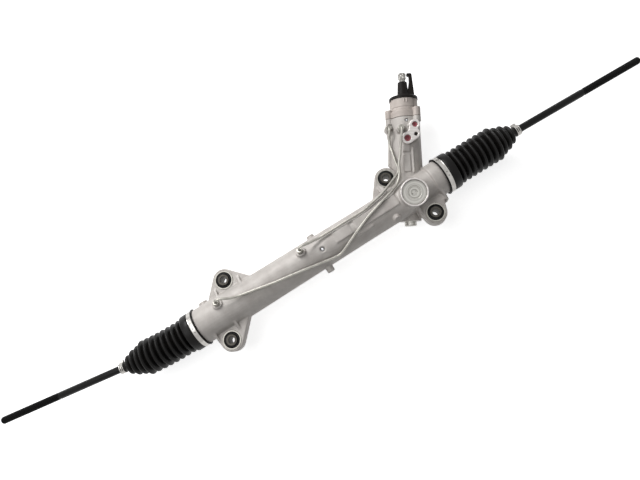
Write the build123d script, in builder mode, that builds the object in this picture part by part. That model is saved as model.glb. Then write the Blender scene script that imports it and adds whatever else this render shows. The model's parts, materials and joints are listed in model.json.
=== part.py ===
from build123d import *
from math import acos, atan2, cos, degrees, pi, radians, sin, tan
import os

# Hydraulic rack-and-pinion steering gear with both inner tie rods.
#
# Frame: +X runs along the rack towards the pinion end, +Z is the axis of the mounting bolts, and the
# origin is midway between the two rear mounting bolts, on the seat face of their bushes.

os.makedirs("parts", exist_ok=True)

# %% Driving dimensions, in millimetres and degrees

# mounting
rear_spacing = 362.0  # between the two rear bolts
front_spacing = 444.0  # between the two front bolts
front_set = 105.0  # from the rear bolt line to the front bolt line
bolt_bore_r = 6.2  # clearance for an M12 bolt
sleeve_r = 10.5
rubber_r = 15.0
shell_wall = 1.2
sleeve_length = 30.0
lug_thickness = 22.0
lug_wall = 5.5

# where the rack lies
rack_x = 8.0  # middle of the rack's stroke
rack_y = -51.0
travel = 70.0  # each way from the middle
rack_r = 13.0
ball_reach = 352.5  # from the middle to each inner ball's centre

# housing tube, stations along X from the middle of the stroke
housing_left = -270.0
housing_right = 261.0
spigot_length = 14.0
spigot_r = 33.0
tube_left_r = 34.8
tube_right_r = 31.8
tube_right = 90.0
neck_left = 216.0
neck_right = 241.0
neck_r = 30.0
end_boss_r = 33.5
mouth_r = 25.0
core_r = 23.0
core_right = 150.0
rack_way_r = 15.5

# hydraulic cylinder
cylinder_bore_r = 22.0
cylinder_wall = 2.5
end_bush_length = 13.7
seal_length = 12.0
piston_length = 14.0
piston_clearance = 27.0  # between the piston and each end of its cylinder, at full lock
port_inset = 14.0  # from each end of the cylinder to its port

# rack teeth and pinion
normal_module = 2.0
pinion_teeth = 8
profile_shift = 0.4
pressure_angle = 20.0
shaft_tilt = 29.0  # pinion axis, from square to the rack
mesh_at = 195.5  # station where the pinion crosses the rack
lean = 10.0  # yoke axis, from vertical towards the front
pitch_drop = 9.3  # from the rack's axis to the pinion's rolling line
backlash = 0.10
toothed_length = 172.0
pinion_face = 36.0

# pinion tower, stations along the pinion axis from the mesh
tower_r = 29.0
tower_top = 150.0
valve_bore_r = 21.0
lower_end = -48.0
lower_barrel_r = 21.0
lower_bearing_at = -24.0
lower_bearing_width = 9.0
lower_bearing_r = 16.0
journal_r = 7.5
port_height = 36.0  # port face above the pinion axis

# hydraulic ports and pipes
cylinder_port_turn = 21.0  # from vertical towards the rear
cylinder_port_top = 38.0  # from the rack's axis
port_boss_r = 9.5
nut_height = 7.0
nut_across = 11.0
pipe_r = 2.4
pipe_bore_r = 1.7
nut_bore_r = pipe_r + 0.1
pressure_port = (106.3, 1.4)  # station and distance to the left of the pinion axis
return_port = (131.5, -13.6)
port_screw = (113.0, -14.7)
tower_pipe_port = (125.4, 12.7)
shoulder_pipe_port = (131.5, 33.0)
tower_port_height = 34.0
shoulder_port_height = 10.0
pipe_seat = 4.5  # length of a pipe's end inside its port
port_screw_r = 3.4
port_face_root = 12.0
port_notches = [((126.6, 6.8), 9.0), ((122.9, -24.6), 5.0)]  # places and radii, between the lobes
pressure_port_r = 6.0
return_port_r = 5.0
port_depth = 14.0

# yoke
yoke_r = 20.0
yoke_top = 32.0
plug_r = 22.4
plug_ring_r = 12.4  # ring groove in the plug's outer face, round its key hole
plug_ring_width = 2.4
plug_ring_depth = 2.5
plug_key_across = 11.0
plug_key_depth = 3.0
yoke_boss_r = 26.0
yoke_boss_top = 50.0
liner_thickness = 0.6

# upper valve housing and input shaft
ear_circle_r = 30.5
ear_turns = (169.0, 49.0, -71.0)  # about the pinion axis, from its right side towards up
ear_r = 7.5
cap_bolt_r = 3.5
cap_flange = 12.0
cap_ear_length = 17.0
cap_head_seat = 6.0  # thickness under each bolt's head
cap_head_r = 5.5
cap_head_length = 7.0
cap_key_across = 5.0
cap_key_depth = 3.5
cap_top = 188.0
cap_r = 26.5
cap_bearing_r = 15.0
cover_top = 194.5
shaft_tip = 241.0
shaft_head_r = 7.0
shaft_head_length = 13.0
shaft_neck_r = 5.8
shaft_r = 9.0
spool_r = 12.5
spool_start = 66.0
spool_end = 142.0
torsion_bar_r = 2.8

# ball joints and tie rods
ball_r = 14.0
seat_wall = 2.0
socket_r = 20.0
socket_opening = 57.0  # half angle of the socket's mouth
seat_opening = 62.0
stud_r = 7.9
stud_length = 20.0
washer_thickness = 1.5
socket_lip = 10.0  # from the ball's centre to the socket's mouth
flats_r = 17.0
flats_across = 28.0
flats_length = 10.5
seat_back_opening = 17.0
rod_neck_r = 6.0
neck_start = 2.0
rod_r = 7.0
rod_length = 343.0
rod_thread = 120.0
rod_turn_left = 8.4  # towards the rear at rest
rod_turn_right = -2.0

# boots and clamps
boot_pitch = 11.8
boot_first_crest = 35.5
boot_cuff_length = 13.4
boot_taper = 2.5  # from the last fold to the cuff
boot_lip_r = 37.8
boot_lip = 2.5
boot_wall = 2.0
boot_collar_r = 35.6
boot_block_r = 36.5  # plain stretch between the clamp and the first fold
boot_block_gap = 3.0
boot_crests = (34.0, 34.0, 34.0, 34.0, 34.0, 34.0, 34.0, 34.0, 28.5, 25.0, 18.8)
boot_roots = (27.0, 27.0, 27.0, 27.0, 27.0, 27.0, 27.0, 24.0, 20.5, 15.0, 10.4)
boot_cuff_r = 9.4
large_clamp_width = 8.5
small_clamp_width = 8.5
clamp_wall = 0.9
ear_height = 4.2
ear_width = 2.6
small_ear_turn = 90.0  # from straight up towards the rear
large_ear_turn = 180.0

# fits
running = 0.05  # radial, between pieces that move on each other
snug = 0.1  # radial, between fixed pieces
clear = 0.3  # between pieces that only stand near each other

# %% Derived sizes and frames

rack_z = sleeve_length / 2
transverse_module = normal_module / cos(radians(shaft_tilt))
pitch_r = pinion_teeth * transverse_module / 2
pinion_drop = pitch_drop + pitch_r
rack_pitch = pi * normal_module

up = Vector(0, -sin(radians(lean)), cos(radians(lean)))
across = Vector(0, cos(radians(lean)), sin(radians(lean)))
along = Vector(1, 0, 0)
shaft_way = along * sin(radians(shaft_tilt)) + across * cos(radians(shaft_tilt))
side_way = along * cos(radians(shaft_tilt)) - across * sin(radians(shaft_tilt))

rack_middle = Vector(rack_x, rack_y, rack_z)
mesh_point = rack_middle + along * mesh_at
pinion_centre = mesh_point - up * pinion_drop

rack_axis = Axis(rack_middle, along)
pinion_axis = Axis(pinion_centre, shaft_way)
yoke_axis = Axis(mesh_point, up)

flat = Plane(origin=rack_middle)  # x along the rack, y to the rear
stations = Plane(origin=rack_middle, x_dir=(0, 1, 0), z_dir=along)  # cross-sections of the rack line
lengthwise = Plane(origin=rack_middle, x_dir=along, z_dir=(0, -1, 0))  # half profiles of the rack line
yoke_plane = Plane(origin=mesh_point, x_dir=along, z_dir=up)
yoke_profile = Plane(origin=mesh_point, x_dir=along, z_dir=-across)  # y runs up the yoke axis
shaft_stations = Plane(origin=pinion_centre, x_dir=up, z_dir=shaft_way)  # x up, y to the side
shaft_profile = Plane(origin=pinion_centre, x_dir=shaft_way, z_dir=side_way)  # y runs up
port_plane = Plane(origin=pinion_centre, x_dir=shaft_way, z_dir=up)  # y runs towards the rack's left

rear_bolts = [(-rear_spacing / 2, 0), (rear_spacing / 2, 0)]
front_bolts = [(-front_spacing / 2, -front_set), (front_spacing / 2, -front_set)]
bolt_places = rear_bolts + front_bolts


def turned(plane, axis, outline):
    """A turned piece: a closed outline on a half-profile plane, revolved about its axis."""
    with BuildPart() as piece:
        with BuildSketch(plane):
            with BuildLine():
                Polyline(*outline, close=True)
            make_face()
        revolve(axis=axis)
    return piece.part


def ring(plane, axis, start, end, inner, outer):
    """A plain turned ring between two stations."""
    return turned(plane, axis, [(start, inner), (end, inner), (end, outer), (start, outer)])


def save(part, name):
    """Label a finished piece and write it under its own name."""
    part.label = name
    export_step(part, f"parts/{name}.step")


# %% Gear housing: tube, lugs, tower and yoke boss, die-cast in one piece

lug_r = rubber_r + shell_wall + lug_wall
lug_bore_r = rubber_r + shell_wall + snug
shell_rim = 1.2
shell_rim_r = rubber_r + shell_wall + 1.6
lug_low = rack_z - lug_thickness / 2
tube_outline = [
    (housing_left - spigot_length, 0),
    (housing_left - spigot_length, spigot_r - 1),
    (housing_left - spigot_length + 1, spigot_r),
    (housing_left, spigot_r),
    (housing_left, tube_left_r),
    (tube_right, tube_right_r),
    (neck_left - 6, tube_right_r),
    (neck_left, neck_r),
    (neck_right - 2, neck_r),
    (neck_right, end_boss_r),
    (housing_right, end_boss_r),
    (housing_right, spigot_r),
    (housing_right + spigot_length, spigot_r),
    (housing_right + spigot_length, 0),
]

# stations of the stop faces that the ball sockets meet at full lock
socket_back = 34.5  # from the ball's centre to the socket's inner face
stop_gap = 2.5  # past the lock washer as well
left_stop = -ball_reach + socket_back + travel + stop_gap
right_stop = ball_reach - socket_back - travel - stop_gap

ring_width = 1.8
ring_groove_r = mouth_r + 1.2
bush_face = left_stop + ring_width
cylinder_left = bush_face + end_bush_length
piston_at = cylinder_left + piston_clearance + piston_length / 2 + travel
cylinder_right = piston_at + travel + piston_length / 2 + piston_clearance
left_port_at = cylinder_left + port_inset
right_port_at = cylinder_right - port_inset
rack_way = [
    (housing_left - spigot_length, 0),
    (housing_left - spigot_length, mouth_r),
    (left_stop, mouth_r),
    (left_stop, ring_groove_r),
    (left_stop + ring_width, ring_groove_r),
    (left_stop + ring_width, cylinder_bore_r + cylinder_wall + snug),
    (cylinder_right, cylinder_bore_r + cylinder_wall + snug),
    (cylinder_right, rack_r + 6 + snug),
    (cylinder_right + seal_length, rack_r + 6 + snug),
    (cylinder_right + seal_length, rack_r + 1.5),
    (cylinder_right + seal_length + 5, rack_r + 1.5),
    (cylinder_right + seal_length + 8, core_r),
    (core_right - 5, core_r),
    (core_right, rack_way_r),
    (right_stop, rack_way_r),
    (right_stop, mouth_r),
    (housing_right + spigot_length, mouth_r),
    (housing_right + spigot_length, 0),
]

pinion_seal_at = 30.0
pinion_seal_length = 10.0
pinion_seal_r = 18.0
pinion_pocket_r = 13.5
bottom_cap_length = 9.0
shaft_bore = [
    (lower_end - 1, 0),
    (lower_end - 1, lower_bearing_r + 1.5),
    (lower_end + bottom_cap_length, lower_bearing_r + 1.5),
    (lower_end + bottom_cap_length, lower_bearing_r + snug),
    (lower_bearing_at, lower_bearing_r + snug),
    (lower_bearing_at, pinion_pocket_r),
    (pinion_seal_at, pinion_pocket_r),
    (pinion_seal_at, pinion_seal_r + snug),
    (pinion_seal_at + pinion_seal_length, pinion_seal_r + snug),
    (pinion_seal_at + pinion_seal_length, valve_bore_r),
    (tower_top + 1, valve_bore_r),
    (tower_top + 1, 0),
]

# each lug spreads from its bush to two feet on the tube, given by station
lug_feet = [(-264.0, -112.0), (106.0, 196.0), (-260.0, -150.0), (186.0, 256.0)]
rib_stations = [(-213.0, -163.0), (150.0, 157.0), (-251.0, -207.0), (192.0, 246.0)]
rib_thickness = 5.0
rib_reach = 46.0
boss_root = 27.0  # bosses start inside the tube's wall
stub_at = -7.0
stub_r = 7.5
stub_front = 43.0
stub_rear = 38.0
rear_bump_at = -247.0
rear_bump_r = 9.0
rear_bump_reach = 39.0
round_boss_at = 147.0
round_boss_turn = -52.0  # from vertical towards the rear
round_boss_r = 7.5
round_boss_reach = 40.0
ball_plug_at = 0.8
ball_plug_turn = -7.0
ball_plug_r = 3.9
ball_plug_reach = 28.0
ball_recess_r = 5.9
tower_ball_place = (142.0, 0.0)
tower_ball_r = 3.0
tower_ball_height = 25.4
# flat pads: from, to, front edge, top
tube_pads = [(30, 64, -9, 33), (75, 165, -9, 33), (66, 104, -18, 29.6)]
pad_rear = 12.0
pad_root = 20.0
cap_bolt_reach = 10.0  # into the tower's ears
# web and flare of the tower, as stations along the pinion axis and distances to its left
tower_web = [(30, 10), (62, 37), (105, 34), (138, 38), (146, 36), (tower_top, 30), (tower_top, 10)]
web_half = 6.0
flare_start = (18.0, -46.0)
flare_end = (56.0, -28.0)
flare_r = 46.0
flare_half = 11.0
flare_root = 10.0
# flat pads on the tower: from, to, middle, width, top
tower_pads = [(44, 76, 4, 13, 31), (82, 98, 4, 13, 31), (42, 90, -8, 3, 30)]


def radial(station, turn, reach):
    """A plane facing out of the tube at a station, turned from vertical towards the rear."""
    way = Vector(0, sin(radians(turn)), cos(radians(turn)))
    return Plane(origin=rack_middle + along * station + way * reach, x_dir=along, z_dir=way)


def by_tower(station, left, height):
    """A point given along the pinion axis, to its left and above it."""
    return pinion_centre + shaft_way * station - side_way * left + up * height


def by_rack(station, rear, height):
    """A point given along the rack, to its rear and above it."""
    return rack_middle + Vector(station, rear, height)


def ear_places(circle_r):
    """Centres of the valve housing's ears on a plane across the pinion axis, as (up, side)."""
    return [
        (circle_r * sin(radians(turn)), circle_r * cos(radians(turn))) for turn in ear_turns
    ]


with BuildPart() as gear_housing:
    with BuildSketch(lengthwise):
        with BuildLine():
            Polyline(*tube_outline, close=True)
        make_face()
    revolve(axis=rack_axis)

    # mounting lugs, tangent from two feet on the tube to the bush boss
    for (bolt_x, bolt_y), (foot_a, foot_b) in zip(bolt_places, lug_feet):
        with BuildSketch(Plane.XY.offset(lug_low)):
            with BuildLine():
                CenterArc((bolt_x, bolt_y), lug_r, 0, 360)
                Line((rack_x + foot_a, rack_y), (rack_x + foot_b, rack_y))
            make_hull()
        extrude(amount=lug_thickness)

    # gusset ribs from the tube to the lugs
    for (_, bolt_y), ribs in zip(bolt_places, rib_stations):
        way = 1 if bolt_y > rack_y else -1
        for station in ribs:
            with BuildSketch(stations.offset(station - rib_thickness / 2)):
                with BuildLine():
                    Polyline(
                        (0, 28),
                        (way * 14, 28),
                        (way * rib_reach, lug_thickness / 2),
                        (way * rib_reach, -lug_thickness / 2),
                        (way * 14, -28),
                        (0, -28),
                        close=True,
                    )
                make_face()
            extrude(amount=rib_thickness)

    # flat pads on the tube's upper side
    for pad_left, pad_right, pad_front, pad_top in tube_pads:
        with BuildSketch(flat.offset(pad_root)):
            with Locations(((pad_left + pad_right) / 2, (pad_front + pad_rear) / 2)):
                Rectangle(pad_right - pad_left, pad_rear - pad_front)
        extrude(amount=pad_top - pad_root)

    # cross stub, rear bump and round boss
    for turn, reach in ((90, stub_rear), (-90, stub_front)):
        with BuildSketch(radial(stub_at, turn, boss_root)):
            Circle(stub_r)
        extrude(amount=reach - boss_root)
    with BuildSketch(radial(rear_bump_at, 90, boss_root)):
        Circle(rear_bump_r)
    extrude(amount=rear_bump_reach - boss_root)
    with BuildSketch(radial(round_boss_at, round_boss_turn, boss_root)):
        Circle(round_boss_r)
    extrude(amount=round_boss_reach - boss_root)

    # bosses of the two cylinder ports
    for station in (left_port_at, right_port_at):
        with BuildSketch(radial(station, cylinder_port_turn, boss_root)):
            Circle(port_boss_r)
        extrude(amount=cylinder_port_top - boss_root)

    # pinion tower, its slimmer lower barrel and the flange ears
    with BuildSketch(shaft_stations.offset(-12)):
        Circle(tower_r)
    extrude(amount=tower_top + 12)
    with BuildSketch(shaft_stations.offset(lower_end)):
        Circle(lower_barrel_r)
    extrude(amount=-lower_end)
    with BuildSketch(shaft_stations.offset(tower_top)):
        with Locations(*ear_places(ear_circle_r)):
            Circle(ear_r)
    extrude(amount=-cap_bolt_reach - 1)

    # web along the tower's left side, up to the shoulder of the short pipe's port, and a flared
    # root on its right side
    with BuildSketch(port_plane):
        with BuildLine():
            Polyline(*tower_web, close=True)
        make_face()
    extrude(amount=web_half, both=True)
    with BuildSketch(port_plane):
        with BuildLine():
            Polyline(flare_end, (flare_end[0], -flare_root), (flare_start[0], -flare_root), flare_start)
            RadiusArc(flare_start, flare_end, flare_r)
        make_face()
    extrude(amount=flare_half, both=True)
    with BuildSketch(port_plane.offset(-web_half)):
        with Locations(shoulder_pipe_port):
            Circle(port_boss_r - 2)
    extrude(amount=web_half + shoulder_port_height)

    # port face: three lobes and the long pipe's port
    with BuildSketch(port_plane.offset(port_face_root)):
        for place, lobe_r in ((pressure_port, 11.5), (return_port, 10), (port_screw, 8)):
            with Locations(place):
                Circle(lobe_r)
        make_hull()
        for place, notch_r in port_notches:
            with Locations(place):
                Circle(notch_r, mode=Mode.SUBTRACT)
    extrude(amount=port_height - port_face_root)
    with BuildSketch(port_plane.offset(port_face_root)):
        with Locations(tower_pipe_port):
            Circle(port_boss_r - 1.5)
    extrude(amount=tower_port_height - port_face_root)

    # raised pads and a thin rib along the tower's upper side
    for pad_low, pad_high, pad_middle, pad_width, pad_top in tower_pads:
        with BuildSketch(port_plane.offset(pad_root)):
            with Locations(((pad_low + pad_high) / 2, pad_middle)):
                Rectangle(pad_high - pad_low, pad_width)
        extrude(amount=pad_top - pad_root)

    # yoke boss
    with BuildSketch(yoke_plane):
        Circle(yoke_boss_r)
    extrude(amount=yoke_boss_top)

    # inside: rack way, shaft bore, yoke bore, bush bores and ports
    with BuildSketch(lengthwise):
        with BuildLine():
            Polyline(*rack_way, close=True)
        make_face()
    revolve(axis=rack_axis, mode=Mode.SUBTRACT)
    with BuildSketch(shaft_profile):
        with BuildLine():
            Polyline(*shaft_bore, close=True)
        make_face()
    revolve(axis=pinion_axis, mode=Mode.SUBTRACT)
    with BuildSketch(yoke_plane):
        Circle(yoke_r + snug)
    extrude(amount=yoke_boss_top, mode=Mode.SUBTRACT)
    with BuildSketch(yoke_plane.offset(yoke_top)):
        Circle(plug_r + snug)
    extrude(amount=yoke_boss_top - yoke_top, mode=Mode.SUBTRACT)
    with BuildSketch(Plane.XY.offset(lug_low - shell_rim - 1)):
        with Locations(*bolt_places):
            Circle(lug_bore_r)
    extrude(amount=lug_thickness + shell_rim + 1, mode=Mode.SUBTRACT)
    with BuildSketch(Plane.XY.offset(lug_low + lug_thickness)):
        with Locations(*bolt_places):
            Circle(shell_rim_r + clear)
    extrude(amount=sleeve_length / 2 - lug_thickness / 2, mode=Mode.SUBTRACT)
    with BuildSketch(port_plane.offset(port_height)):
        for place, hole_r in ((pressure_port, pressure_port_r), (return_port, return_port_r), (port_screw, port_screw_r)):
            with Locations(place):
                Circle(hole_r)
    extrude(amount=-port_depth, mode=Mode.SUBTRACT)
    with BuildSketch(shaft_stations.offset(tower_top)):
        with Locations(*ear_places(ear_circle_r)):
            Circle(cap_bolt_r + snug)
    extrude(amount=-cap_bolt_reach - 1, mode=Mode.SUBTRACT)

    # pipe ports: a seat for each pipe's end and a way through to what it feeds
    for station in (left_port_at, right_port_at):
        with BuildSketch(radial(station, cylinder_port_turn, cylinder_port_top)):
            Circle(nut_bore_r)
        extrude(amount=-pipe_seat - snug, mode=Mode.SUBTRACT)
        with BuildSketch(radial(station, cylinder_port_turn, cylinder_port_top)):
            Circle(pipe_bore_r)
        extrude(amount=cylinder_bore_r - cylinder_port_top, mode=Mode.SUBTRACT)
    for place, height in ((tower_pipe_port, tower_port_height), (shoulder_pipe_port, shoulder_port_height)):
        with BuildSketch(port_plane.offset(height)):
            with Locations(place):
                Circle(nut_bore_r)
        extrude(amount=-pipe_seat - snug, mode=Mode.SUBTRACT)

    # ball plug: a recess and a bore down to the hollow core
    with BuildSketch(radial(ball_plug_at, ball_plug_turn, ball_plug_reach + ball_plug_r - 1)):
        Circle(ball_recess_r)
    extrude(amount=6, mode=Mode.SUBTRACT)
    with BuildSketch(radial(ball_plug_at, ball_plug_turn, ball_plug_reach + ball_plug_r)):
        Circle(ball_plug_r + snug)
    extrude(amount=-12, mode=Mode.SUBTRACT)

    # a smaller one in the tower, down to the valve bore
    with BuildSketch(port_plane.offset(tower_ball_height)):
        with Locations(tower_ball_place):
            Circle(tower_ball_r + snug)
    extrude(amount=tower_r - tower_ball_height + 1, mode=Mode.SUBTRACT)
    with BuildSketch(port_plane.offset(tower_ball_height)):
        with Locations(tower_ball_place):
            Circle(tower_ball_r + snug)
    extrude(amount=valve_bore_r - tower_ball_height - 3, mode=Mode.SUBTRACT)

save(gear_housing.part, "gear_housing")


# %% Hydraulic cylinder and its seals

with BuildPart() as cylinder_tube:
    with BuildSketch(stations.offset(cylinder_left)):
        Circle(cylinder_bore_r + cylinder_wall)
        Circle(cylinder_bore_r, mode=Mode.SUBTRACT)
    extrude(amount=cylinder_right - cylinder_left)
    for station in (left_port_at, right_port_at):
        with BuildSketch(radial(station, cylinder_port_turn, 0)):
            Circle(pipe_bore_r)
        extrude(amount=cylinder_port_top, mode=Mode.SUBTRACT)
save(cylinder_tube.part, "cylinder_tube")

seal_outer_r = rack_r + 5
end_seal_at = cylinder_left - 7
end_bush = turned(
    lengthwise,
    rack_axis,
    [
        (bush_face, rack_r + running),
        (end_seal_at, rack_r + running),
        (end_seal_at, seal_outer_r + snug),
        (cylinder_left, seal_outer_r + snug),
        (cylinder_left, cylinder_bore_r + cylinder_wall),
        (bush_face, cylinder_bore_r + cylinder_wall),
    ],
)
save(end_bush, "end_bush")
save(ring(lengthwise, rack_axis, end_seal_at, cylinder_left, rack_r + running, seal_outer_r), "end_rack_seal")
save(
    ring(
        lengthwise, rack_axis, cylinder_right, cylinder_right + seal_length, rack_r + running, rack_r + 6
    ),
    "inner_rack_seal",
)

with BuildPart() as end_retaining_ring:
    with BuildSketch(stations.offset(left_stop)):
        Circle(mouth_r + 1.1)
        Circle(socket_r - 0.5, mode=Mode.SUBTRACT)
        with Locations((0, mouth_r)):
            Rectangle(9, 14, mode=Mode.SUBTRACT)
    extrude(amount=ring_width)
save(end_retaining_ring.part, "end_retaining_ring")

# %% Rack bar, cut with straight teeth on its lower side

tooth_datum = pitch_drop - profile_shift * normal_module  # mid-height of the rack teeth, below the axis
tooth_land = tooth_datum + normal_module - 0.1
pinion_tip_r = pitch_r + normal_module * (1 + profile_shift) - 0.2
tooth_root = pitch_drop + pitch_r - pinion_tip_r - 0.4
space_half = (rack_pitch / 2 + backlash) / 2
flank = tan(radians(pressure_angle))
space_outline = [
    (-space_half - (rack_r + 2 - tooth_datum) * flank, -rack_r - 2),
    (-space_half + (tooth_datum - tooth_root) * flank, -tooth_root),
    (space_half - (tooth_datum - tooth_root) * flank, -tooth_root),
    (space_half + (rack_r + 2 - tooth_datum) * flank, -rack_r - 2),
]
space_count = 2 * round(toothed_length / rack_pitch / 2)
rack_end = ball_reach - socket_back - washer_thickness
clip_width = 1.2
clip_places = (piston_at - piston_length / 2 - clip_width, piston_at + piston_length / 2)

with BuildPart() as rack_bar:
    with BuildSketch(stations.offset(-rack_end)):
        Circle(rack_r)
    extrude(amount=2 * rack_end)
    chamfer(rack_bar.edges().filter_by(GeomType.CIRCLE), length=1)
    with BuildSketch(yoke_profile):
        with Locations((0, -tooth_land - rack_r / 2)):
            Rectangle(2 * (travel + 26), rack_r)
        with GridLocations(rack_pitch, 0, space_count, 1):
            Polygon(*space_outline, align=None)
    extrude(amount=rack_r + 1, both=True, mode=Mode.SUBTRACT)
    for start in (-rack_end, rack_end - stud_length - 2):
        with BuildSketch(stations.offset(start)):
            Circle(stud_r + snug)
        extrude(amount=stud_length + 2, mode=Mode.SUBTRACT)
    for start in clip_places:
        with BuildSketch(stations.offset(start)):
            Circle(rack_r + 1)
            Circle(rack_r - 1.2, mode=Mode.SUBTRACT)
        extrude(amount=clip_width, mode=Mode.SUBTRACT)
save(rack_bar.part, "rack_bar")

piston_left = piston_at - piston_length / 2
piston_right = piston_at + piston_length / 2
piston = turned(
    lengthwise,
    rack_axis,
    [
        (piston_left, rack_r + snug),
        (piston_right, rack_r + snug),
        (piston_right, cylinder_bore_r - 0.5),
        (piston_at + 2.5, cylinder_bore_r - 0.5),
        (piston_at + 2.5, cylinder_bore_r - 3),
        (piston_at - 2.5, cylinder_bore_r - 3),
        (piston_at - 2.5, cylinder_bore_r - 0.5),
        (piston_left, cylinder_bore_r - 0.5),
    ],
)
save(piston, "piston")
piston_ring = ring(
    lengthwise, rack_axis, piston_at - 2.4, piston_at + 2.4, cylinder_bore_r - 2.9, cylinder_bore_r - running
)
save(piston_ring, "piston_ring")

with BuildPart() as piston_clips:
    for start in clip_places:
        with BuildSketch(stations.offset(start)):
            Circle(rack_r + 2)
            Circle(rack_r - 1.1, mode=Mode.SUBTRACT)
            with Locations((0, rack_r)):
                Rectangle(5, 8, mode=Mode.SUBTRACT)
        extrude(amount=clip_width)
save(piston_clips.part, "piston_clips")

# %% Yoke that holds the rack against the pinion

liner_r = rack_r + running + liner_thickness
pocket_r = 9.5
pocket_floor = 17.5
plug_low = yoke_top + 0.5
plug_top = yoke_boss_top - 3.0
spring_seat = plug_low + 3.5
spring_wire_r = 1.5
spring_turns = 2.75

with BuildPart() as yoke:
    with BuildSketch(yoke_plane.offset(1)):
        Circle(yoke_r)
    extrude(amount=yoke_top - 1)
    with BuildSketch(stations.offset(mesh_at - yoke_r)):
        Circle(liner_r + snug)
    extrude(amount=2 * yoke_r, mode=Mode.SUBTRACT)
    with BuildSketch(yoke_plane.offset(pocket_floor)):
        Circle(pocket_r)
    extrude(amount=yoke_top - pocket_floor, mode=Mode.SUBTRACT)
    chamfer(yoke.edges().filter_by(GeomType.CIRCLE).sort_by(Axis(mesh_point, up))[-2:], length=0.8)
save(yoke.part, "yoke")

liner_half = 50.0
liner_length = 28.0
liner_wedge = [(0, 0)] + [
    (-40 * sin(radians(lean + turn)), 40 * cos(radians(lean + turn))) for turn in (-liner_half, 0, liner_half)
]
with BuildPart() as yoke_liner:
    with BuildSketch(stations.offset(mesh_at - liner_length / 2)):
        Polygon(*liner_wedge, align=None)
        Circle(liner_r, mode=Mode.INTERSECT)
        Circle(liner_r - liner_thickness, mode=Mode.SUBTRACT)
    extrude(amount=liner_length)
save(yoke_liner.part, "yoke_liner")

with BuildPart() as yoke_spring:
    spring_height = spring_seat - pocket_floor - 2 * spring_wire_r
    with BuildLine():
        coil = Helix(
            pitch=spring_height / spring_turns,
            height=spring_height,
            radius=pocket_r - 0.5 - spring_wire_r,
            center=mesh_point + up * (pocket_floor + spring_wire_r),
            direction=up,
        )
    with BuildSketch(Plane(origin=coil @ 0, z_dir=coil % 0)):
        Circle(spring_wire_r)
    sweep(is_frenet=True)
save(yoke_spring.part, "yoke_spring")

plug_blank = turned(
    yoke_profile,
    yoke_axis,
    [
        (0, spring_seat),
        (pocket_r, spring_seat),
        (pocket_r, plug_low),
        (plug_r - 1, plug_low),
        (plug_r, plug_low + 1),
        (plug_r, plug_top - 1),
        (plug_r - 1, plug_top),
        (plug_ring_r, plug_top),
        (plug_ring_r, plug_top - plug_ring_depth),
        (plug_ring_r - plug_ring_width, plug_top - plug_ring_depth),
        (plug_ring_r - plug_ring_width, plug_top - 1),
        (0, plug_top - 1),
    ],
)
with BuildPart() as yoke_plug:
    add(plug_blank)
    with BuildSketch(yoke_plane.offset(plug_top - 1)):
        RegularPolygon(radius=plug_key_across / 2, side_count=6, major_radius=False)
    extrude(amount=-plug_key_depth, mode=Mode.SUBTRACT)
save(yoke_plug.part, "yoke_plug")

# %% Pinion: eight helical teeth, generated for the straight rack teeth

base_r = pitch_r * cos(atan2(tan(radians(pressure_angle)), cos(radians(shaft_tilt))))
transverse_angle = acos(base_r / pitch_r)
pinion_root_r = pitch_r - normal_module * (1.25 - profile_shift)
tooth_arc = (
    pi * transverse_module / 2 + 2 * profile_shift * normal_module * tan(transverse_angle) - backlash
) / (2 * pitch_r)


def involute(angle):
    """The involute function, in radians."""
    return tan(angle) - angle


def flank_turn(radius):
    """Half the angle that a pinion tooth fills at a radius."""
    return tooth_arc + involute(transverse_angle) - involute(acos(base_r / radius))


def at_turn(radius, turn):
    """A point of the pinion's cross-section."""
    return (radius * cos(turn), radius * sin(turn))


twist_per_length = -tan(radians(shaft_tilt)) / pitch_r  # radians about the pinion axis
start_turn = -pinion_face / 2 * twist_per_length
flank_radii = [base_r + (pinion_tip_r - base_r) * share for share in (0.0, 0.1, 0.4, 0.7, 1.0)]

with BuildSketch(shaft_stations.offset(-pinion_face / 2)) as tooth_section:
    Circle(pinion_root_r)
    for tooth in range(pinion_teeth):
        middle = start_turn + (tooth + 0.5) * 2 * pi / pinion_teeth
        one_side = [at_turn(radius, middle - flank_turn(radius)) for radius in flank_radii]
        other_side = [at_turn(radius, middle + flank_turn(radius)) for radius in reversed(flank_radii)]
        inner = [at_turn(pinion_root_r - 0.5, middle + way * flank_turn(base_r)) for way in (1, -1)]
        with BuildLine():
            Spline(*one_side)
            Line(one_side[-1], other_side[0])
            Spline(*other_side)
            Polyline(other_side[-1], *inner, one_side[0])
        make_face()
toothed_body = Solid.extrude_linear_with_rotation(
    tooth_section.sketch.face(),
    pinion_centre - shaft_way * pinion_face / 2,
    shaft_way * pinion_face,
    degrees(twist_per_length * pinion_face),
)

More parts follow.
